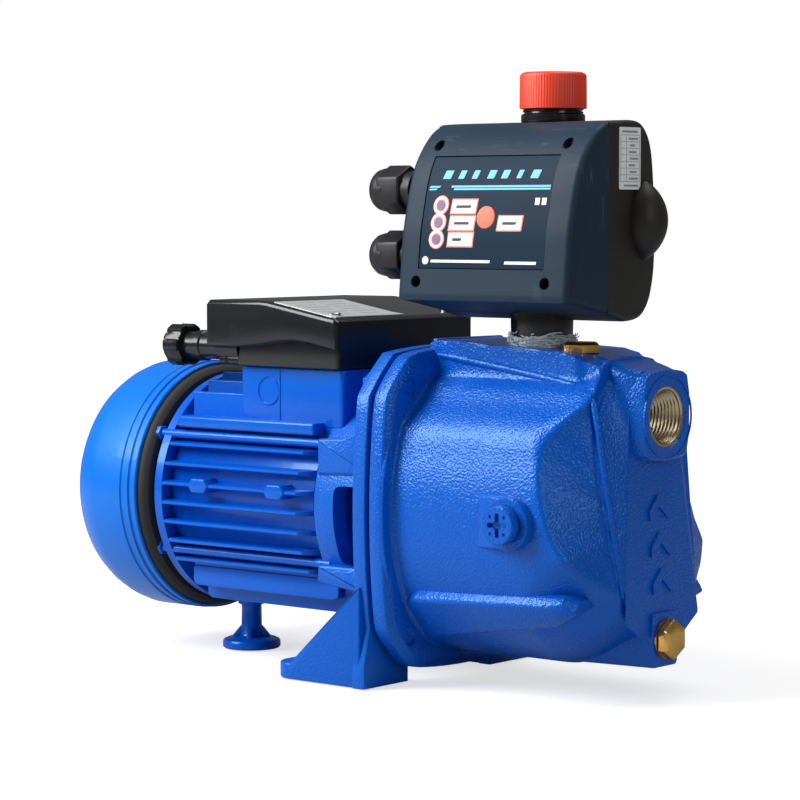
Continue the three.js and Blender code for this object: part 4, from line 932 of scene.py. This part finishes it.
def slanted(x0, x1, z0, z1, lean=0.22):
    shift = lean * (z1 - z0)
    return [(x0, z0), (x1, z0), (x1 + shift, z1), (x0 + shift, z1)]


def printed(name, outlines, ink, level=1.0):
    sheets = [facePlate(o, graphics - 0.2, graphics + rise * level) for o in outlines]
    skin(name, sheets, ink, crease=60)


def ledDiscs(radius):
    return [circle(radius, 40, spot) for spot in ledSpots]


ledSpots = [(35.2, 270.3), (35.0, 260.9), (34.7, 251.7)]
chips = [(42.8, 59.6, low, low + 7.2) for low in (266.0, 256.9, 248.0)] + [(76.2, 92.0, 256.8, 264.2)]
frames = [slanted(a - 0.7, b + 0.7, c - 0.7, d + 0.7, 0.06) for a, b, c, d in chips]
printed("ledRims", ledDiscs(5.4) + frames, inkCoral)
printed("ledRings", ledDiscs(4.8) + [slanted(*chip, 0.06) for chip in chips], inkWhite, 2)
printed("ledInner", ledDiscs(3.4), inkCoral, 3)
lenses = [facePlate(o, graphics, graphics + 0.6) for o in ledDiscs(2.7)]
skin("ledLenses", lenses, lensMauve, crease=60)
words = []
for (a, b, c, d), cut in zip(chips, (0, 0, -4, 0)):
    middle = (c + d) / 2
    words.append(rounded(slanted(a + 3, b - 3.6 + cut, middle - 0.8, middle + 0.7, 0.3), 0.5))
printed("chipBars", words, inkBlack, 3)
bars = [slanted(42.5, 108.4, 278.6, 279.6, 0), slanted(40.4, 108.4, 280.0, 281.1, 0),
        slanted(24.8, 30.0, 278.6, 279.5, 1.0), slanted(24.8, 32.0, 280.0, 281.0, 1.0)]
for k, x in enumerate(np.linspace(33.2, 93.4, 7)):
    bars.append(rounded(slanted(x + 0.6 * (k % 2), x + 5.4 - 0.8 * (k % 3), 284.8, 289.4, 0.3), 0.5))
printed("skyBars", bars, inkSky)
small = [slanted(31.5, 72.6, 238.9, 240.4, 0.2), slanted(82.6, 104.0, 238.3, 239.9, 0.2)]
small += [slanted(x, x + 3, 270.4, 274.2, 0) for x in (99.5, 104)]
printed("smallBars", small + [circle(2.2, 24, (27.8, 240))], inkWhite)

buttonProfile = [(6.3, -4), (6.3, 0.1), (6.0, 0.5), (5.2, 0.62), (0.3, 0.62)]
button = np.array([np.c_[circle(r, 48), np.full(48, h)] for r, h in buttonProfile])
lean = math.atan2(7, 41)  # the face leans back here
c, s = math.cos(lean), math.sin(lean)
across, up, out = button[..., 0], button[..., 1], button[..., 2]
button = np.stack([across, up * s - out * c, up * c + out * s], -1) + [67.5, -53.9, 263.6]
skin("resetButton", button, discRed, body="reset", stands=["reset_button"])
screwHead = [crossHead((x, 0, z), "y", 30.4, 32.4, 2.8, 1.0) for x, z in coverWells]
for k, (x, z) in enumerate(coverWells):
    shank = rod(1.5, -31, -11.2, "y", (x, 0, z), 16)
    skin(f"coverScrew{k + 1}", [shank, screwHead[k]], dullSteel, stands=[f"cover_screw_{k + 1}"])

rearLine = np.array([(seam, 315.5), (-10, 316.3), (3, 316.9), (9, 316.3), (14, 314), (20.5, 308.2), (24.2, 300),
                     (26.6, 286), (28.8, 264), (29, 247), (27.6, 232), (22.4, 218), (14.4, 209.9), (3.4, 206.8),
                     (-6, 206.9)])
rearOutline = np.concatenate([smoothLine(rearLine, 1, 4), [(seam, 211.0)]])
rearOutline[0] = rearLine[0]


def draft(grid):
    # side walls lean in by ten degrees behind the crease at y = 8
    inward = np.clip(grid[..., 1] - 8, 0, None) * 0.176
    side = np.clip((grid[..., 0] - middleX) / 55, -1, 1)
    side = np.sign(side) * np.clip((np.abs(side) - 0.8) / 0.2, 0, 1)
    return np.stack([grid[..., 0] - side * inward, grid[..., 1], grid[..., 2]], -1)


rearShell = draft(shellRings(rearOutline, 9, 126.3, 3.0, seam))


def spindle(side):
    # bulge over the impeller axis: a lens in the side view, round across, with a crease down its middle
    height = 21.7 * np.linspace(-1, 1, 41)
    arc, sink = 25.6, 12.7  # the side view's arc and how deep its centre lies
    radius = np.sqrt(arc**2 - height**2) - sink
    rings = [np.c_[circle(r, 40) * [1, 1.05], np.full(40, h)] for r, h in zip(radius, height)]
    return np.array(rings) + [middleX + side * 59.3, 12.6, 262]


skin("rearCover", [rearShell, spindle(1), spindle(-1)], umberCover, crease=36, stands=["controller_rear"])
seamStrip = slab(rectangle(seam - 0.7, seam + 0.7, 212, 314.7), "x", 9.5, 125.8)
skin("seamStrip", seamStrip, softBlack)
sheet = rounded(rectangle(-12.4, 7.6, 278.8, 312.6), 1.2)
skin("ratingSticker", np.array([station(x, sheet) for x in (126.32, 126.62)]), stickerWhite)


def bar(y0, y1, z0, z1):
    return block((126.5, y0, z0), (126.72, y1, z1), 0.08, 0, "x")


rows = [bar(-11.4, 6.4, 283 + 3.6 * k, 283.25 + 3.6 * k) for k in range(8)]
rows += [bar(y, y + 0.25, 283, 308.4) for y in (-11.4, -6.0, 6.2)]
rows += [bar(-3.6 + k % 2, 5.0 - 1.5 * (k % 3), 284.2 + 3.6 * k, 285.3 + 3.6 * k) for k in range(7)]
rows += [bar(-9.8, 4.6, 309.6, 310.8), bar(-8, 5, 280.4, 281.4)]
skin("stickerBars", rows, inkGrey)


def coverGland(z):
    axis = (0, -40, z)
    profile = [(5.3, -14), (5.3, -19.3), (8.4, -19.7), (10.2, -18.9), (11.6, -16.9), (12.3, -13.9), (12.4, -9),
               (0, -9)]
    dome = turned(profile, "x", axis, 48)
    nut = slab(hexagon(24.4, 30, 1.2), "x", -12.5, 3.4, 1.1, axis)
    collar = rod(10.6, 2, 9.6, "x", axis, 40)
    neck = rod(8.8, 9, 13.2, "x", axis, 32)
    return [dome, nut, collar, neck]


skin("upperGland", coverGland(279), softBlack, stands=["upper_gland"])
skin("lowerGland", coverGland(242.5), softBlack, stands=["lower_gland"])

stemAxis = (67, -2, 0)
outletAxis = (70.5, 3, 0)
stemProfile = [(0, 177), (14.9, 177), (14.9, 193.4), (16.4, 194.6), (17.4, 198), (17.6, 206.8), (17.6, 250),
               (0, 250)]
lowerStem = turned(stemProfile, "z", stemAxis, 64)
upperProfile = [(0, 250), (17, 250), (17, 315.4), (17.6, 316.2), (17.9, 317.4), (17.9, 320.2), (17.2, 321),
                (16.2, 321.3), (15.9, 322.6), (15.9, 337), (15.2, 339), (0, 339)]
upperStem = turned(upperProfile, "z", outletAxis, 64)
chamber = rod(21, 240, 284, "z", (68.7, 0, 0), 48)
skin("controllerBody", [lowerStem, upperStem, chamber], glossBlack, crease=40, stands=["controller_body"])
climb = np.linspace(0, 1, 260)
winding = 4 * np.pi * climb  # two turns
coil = np.stack([16.2 * np.cos(winding), 16.2 * np.sin(winding), 321.6 + 3.6 * climb], 1) + outletAxis
skin("neckThread", hoses(coil[None], 0.75, 8), glossBlack)


def hempStrands(count=260):
    # loose fibres wound round the stem's thread, each a short arc that wanders in radius and height
    start = rng.uniform(0, 2 * np.pi, count)[:, None]
    length = rng.uniform(0.25, 1.4, count)[:, None]
    t = np.linspace(0, 1, 14)[None]
    angle = start + length * t
    draw = lambda low, high: rng.uniform(low, high, count)[:, None]
    radius = draw(15.6, 18.4) + draw(-0.6, 3.2) * t**2 + 0.5 * np.sin(9 * t + start)
    height = draw(192.4, 197.6) + draw(-2.6, 3.2) * t + 0.6 * np.sin(7 * t + 3 * start)
    height = np.clip(height, 191.6, 201.5)
    return np.stack([radius * np.cos(angle), radius * np.sin(angle), height], -1) + stemAxis


skin("hempFibres", hoses(hempStrands(), 0.36, 4), hempPale, crease=80)
hempBed = [(0, 190.5), (17.6, 190.5), (18.0, 192.8), (17.2, 195.2), (15, 196), (0, 196)]
skin("hempBed", turned(hempBed, "z", stemAxis, 48), hempPale)


def ribbedCap():
    # fine upright ribs on the skirt, a slightly domed top
    angle = np.linspace(0, 2 * np.pi, 288, endpoint=False)
    rib = 0.16 * np.cos(72 * angle)
    levels = [(16.6, 338.6, 0), (16.6, 323.9, 0), (17.6, 323.8, 0), (18.6, 324.0, 0.3), (18.6, 324.6, 1),
              (18.45, 341.8, 1), (18.3, 342.6, 0.4), (17.7, 343.5, 0), (16.4, 344.1, 0), (10, 344.5, 0),
              (4, 344.7, 0)]
    rings = [np.c_[circle(1, 288) * (radius + rib * share)[:, None], np.full(288, height)]
             for radius, height, share in levels]
    return np.array(rings) + outletAxis


skin("outletCap", ribbedCap(), capRed, body="cap", crease=50, stands=["outlet_cap"])
print("controller done")


# ---- plugs and their washers

def hexHead(flats, thick, turn):
    # head with its corners cut by a cone and a raised round face
    shape = hexagon(flats, turn, 0.5)
    reach = np.linalg.norm(shape, axis=1)
    trimmed = shape * (np.minimum(reach, flats / 2 + 0.1) / reach)[:, None]
    levels = [(shape * 0.94, 0), (shape, 0.5), (shape, thick - 1.3), (trimmed, thick),
              (trimmed * 0.9, thick + 0.35), (trimmed * 0.3, thick + 0.45)]
    return np.array([np.c_[outline, np.full(len(shape), height)] for outline, height in levels])


shank = turned([(0, -12), (5.4, -12), (5.9, -11.4), (5.9, 0.3), (0, 0.3)], "z", (0, 0, 0), 32)
drainSeat = (151.8, 0, 34.5)
skin("drainPlug", [aim(g, "x") + drainSeat for g in (hexHead(19.6, 5.2, 30), shank)], plugBrass, body="drain",
     stands=["drain_plug"])
primingSpot = np.array([99, -9, 0])
primingSeat = primingSpot + [0, 0, 189.0]
skin("primingPlug", [g + primingSeat for g in (hexHead(19.5, 6, 10), shank)], plugBrass, body="priming",
     stands=["priming_plug"])
primingPad = [(0, 180), (12.6, 180), (12.4, 186.6), (11.8, 187.3), (6.2, 187.3), (6.2, 182), (0, 182)]
skin("primingPad", turned(primingPad, "z", primingSpot, 48), castBlue)
fillerSeat = np.array([97.5, -77.3, 99.6])
fillerRim = [(0, 0), (10.3, 0), (10.5, 0.3), (10.5, 4.2), (10.3, 4.9), (9.7, 5.4), (0, 5.5)]
toFlank = lambda g: np.stack([g[..., 0], -g[..., 2], g[..., 1]], -1) + fillerSeat
fillerHead = toFlank(turned(fillerRim, "z", (0, 0, 0), 64))
fillerPlug = skin("fillerPlug", fillerHead, castBlue, body="filler", stands=["filler_plug"])
arms = [block((-6.6, -1.4, 3.0), (6.6, 1.4, 8), 1.3, 0), block((-1.4, -6.6, 3.05), (1.4, 6.6, 8), 1.3, 0),
        turned([(0, 2.6), (2.4, 3.4), (2.9, 8), (0, 8)], "z", (0, 0, 0), 24)]
arms += [rod(0.95, 4.5, 8, "z", (x, z, 0), 16) for x in (-4.6, 4.6) for z in (-4.6, 4.6)]
carve(fillerPlug, *[toFlank(g) for g in arms])
skin("fillerShank", toFlank(shank), castBlue, body="filler")
print("plugs done")


# ---- marks on the nose


def noseMark(z):
    # a chevron that stands a little proud of the leaning panel
    shape = rounded([(-9, z - 5), (0, z + 3), (9, z - 5), (9, z + 1), (0, z + 9), (-9, z + 1)], 0.8, 3)
    panelX = casing["panelX"] + casing["panelTilt"] * (105 - shape[:, 1])
    return np.array([np.c_[panelX + lift, shape] for lift in (-0.6, 1.1, 1.3)])


skin("flowMarks", [noseMark(z) for z in (64, 84, 104)], castBlue)


# ---- every solid of the frame gets its surface, those that stay and those that a piece stands in for

painted = {
    castBlue: ["pump_casing", "filler_plug"],
    footBlue: ["motor_bracket"],
    frameBlue: ["motor_frame", "rear_shield", "support_foot", *[f"tie_rod_{k}" for k in range(1, 5)]],
    cowlBlue: ["fan_cover"],
    glossBlack: ["terminal_box", "terminal_lid", "motor_gland", "controller_body"],
    softBlack: ["upper_gland", "lower_gland", "run_capacitor"],
    slateCover: ["controller_front"],
    umberCover: ["controller_rear"],
    labelBlue: ["control_panel"],
    discRed: ["reset_button"],
    capRed: ["outlet_cap"],
    fibreSheet: ["casing_gasket", "seal_seat"],
    plugBrass: ["ejector_nozzle", "impeller_nut", "priming_plug", "drain_plug"],
    greyPart: ["venturi_tube", "diffuser", "impeller", "cooling_fan", "terminal_block", "check_valve"],
    bareSteel: ["mechanical_seal", "motor_shaft", "front_bearing", "rear_bearing",
                *[f"{kind}_{k}" for kind in ("flange_bolt", "lid_screw") for k in range(1, 5)]],
    dullSteel: ["stator_core", "rotor_core", *[f"cover_screw_{k}" for k in range(1, 5)]],
    wireCopper: ["stator_winding"],
    washerCopper: ["priming_washer", "drain_washer"],
    rubberAndGapShade: ["diaphragm", "cap_seal", "filler_seal"],
    boardGreen: ["circuit_board"],
}
for finishUsed, names in painted.items():
    for name in names:
        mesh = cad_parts[name].data
        mesh.materials.clear()
        mesh.materials.append(finishUsed)
print("solids painted:", sum(map(len, painted.values())))


# ---- camera, floor and light

view = {"azimuth": 39.6, "elevation": 3.77, "lens": 127.65, "place": (1.173, -1.275, 0.266)}
camera = bpy.data.objects.new("camera", bpy.data.cameras.new("camera"))
bpy.context.scene.collection.objects.link(camera)
camera.data.lens = view["lens"]
camera.data.sensor_width = 36
camera.data.clip_end = 50
a, e = math.radians(view["azimuth"]), math.radians(view["elevation"])
look = Vector((-math.sin(a) * math.cos(e), math.cos(a) * math.cos(e), -math.sin(e)))
camera.location = view["place"]
camera.rotation_mode = "QUATERNION"
camera.rotation_quaternion = look.to_track_quat("-Z", "Y")
bpy.context.scene.camera = camera

floorMesh = bpy.data.meshes.new("studioFloor")
floorZ = -0.0006  # just under the feet, so that nothing flickers
floorMesh.from_pydata([(x, y, floorZ) for x, y in rectangle(-6, 6, -6, 6)], [], [(0, 1, 2, 3)])
studioFloor = bpy.data.objects.new("studioFloor", floorMesh)
bpy.context.scene.collection.objects.link(studioFloor)
floorLook = {"Base Color": (0.5, 0.5, 0.5, 1), "Roughness": 0.8}
floorPaint, floorTree, floorShader = material("floorPaint", floorLook)
glow = addNode(floorTree, "Emission", {"Color": (1, 1, 1, 1), "Strength": 1.0})
spread = addNode(floorTree, "VectorMath", operation="LENGTH")
fade = addNode(floorTree, "MapRange", {"From Min": 0.4, "From Max": 1.5, "To Min": 0.66, "To Max": 1.0})
wire(floorTree, (addNode(floorTree, "TexCoord").outputs["Object"], spread.inputs[0]),
     (spread.outputs["Value"], fade.inputs[0]), (fade.outputs[0], glow.inputs["Strength"]))
seen = addNode(floorTree, "LightPath")
only = addNode(floorTree, "MixShader")
total = addNode(floorTree, "AddShader")
wire(floorTree, (floorShader.outputs[0], total.inputs[0]), (glow.outputs[0], total.inputs[1]),
     (seen.outputs["Is Camera Ray"], only.inputs[0]), (floorShader.outputs[0], only.inputs[1]),
     (total.outputs[0], only.inputs[2]),
     (only.outputs[0], floorTree.nodes["Material Output"].inputs["Surface"]))
floorMesh.materials.append(floorPaint)

studioLight = bpy.data.worlds.new("studioLight")
studioLight.use_nodes = True
sky = studioLight.node_tree
backdrop = sky.nodes["Background"]
backdrop.inputs["Color"].default_value = (1, 1, 1, 1)
amount = addNode(sky, "MapRange", {"To Min": 0.15, "To Max": 1.0})
wire(sky, (addNode(sky, "LightPath").outputs["Is Camera Ray"], amount.inputs[0]),
     (amount.outputs[0], backdrop.inputs["Strength"]))
bpy.context.scene.world = studioLight
bpy.context.scene.view_settings.view_transform = "Standard"


def softLamp(name, place, target, width, height, power):
    lamp = bpy.data.lights.new(name, "AREA")
    lamp.shape = "RECTANGLE"
    lamp.size, lamp.size_y, lamp.energy = width, height, power
    thing = bpy.data.objects.new(name, lamp)
    bpy.context.scene.collection.objects.link(thing)
    thing.location = place
    thing.rotation_mode = "QUATERNION"
    thing.rotation_quaternion = (Vector(target) - Vector(place)).to_track_quat("-Z", "Y")


middle = (0.17, 0, 0.16)
softLamp("keyLeft", (-0.62, -0.95, 1.08), middle, 0.8, 1.3, 40)
softLamp("topSoft", (0.3, 0.5, 1.7), middle, 1.2, 1.0, 12)
softLamp("rightFill", (2.0, -0.5, 0.9), middle, 0.6, 1.0, 6)
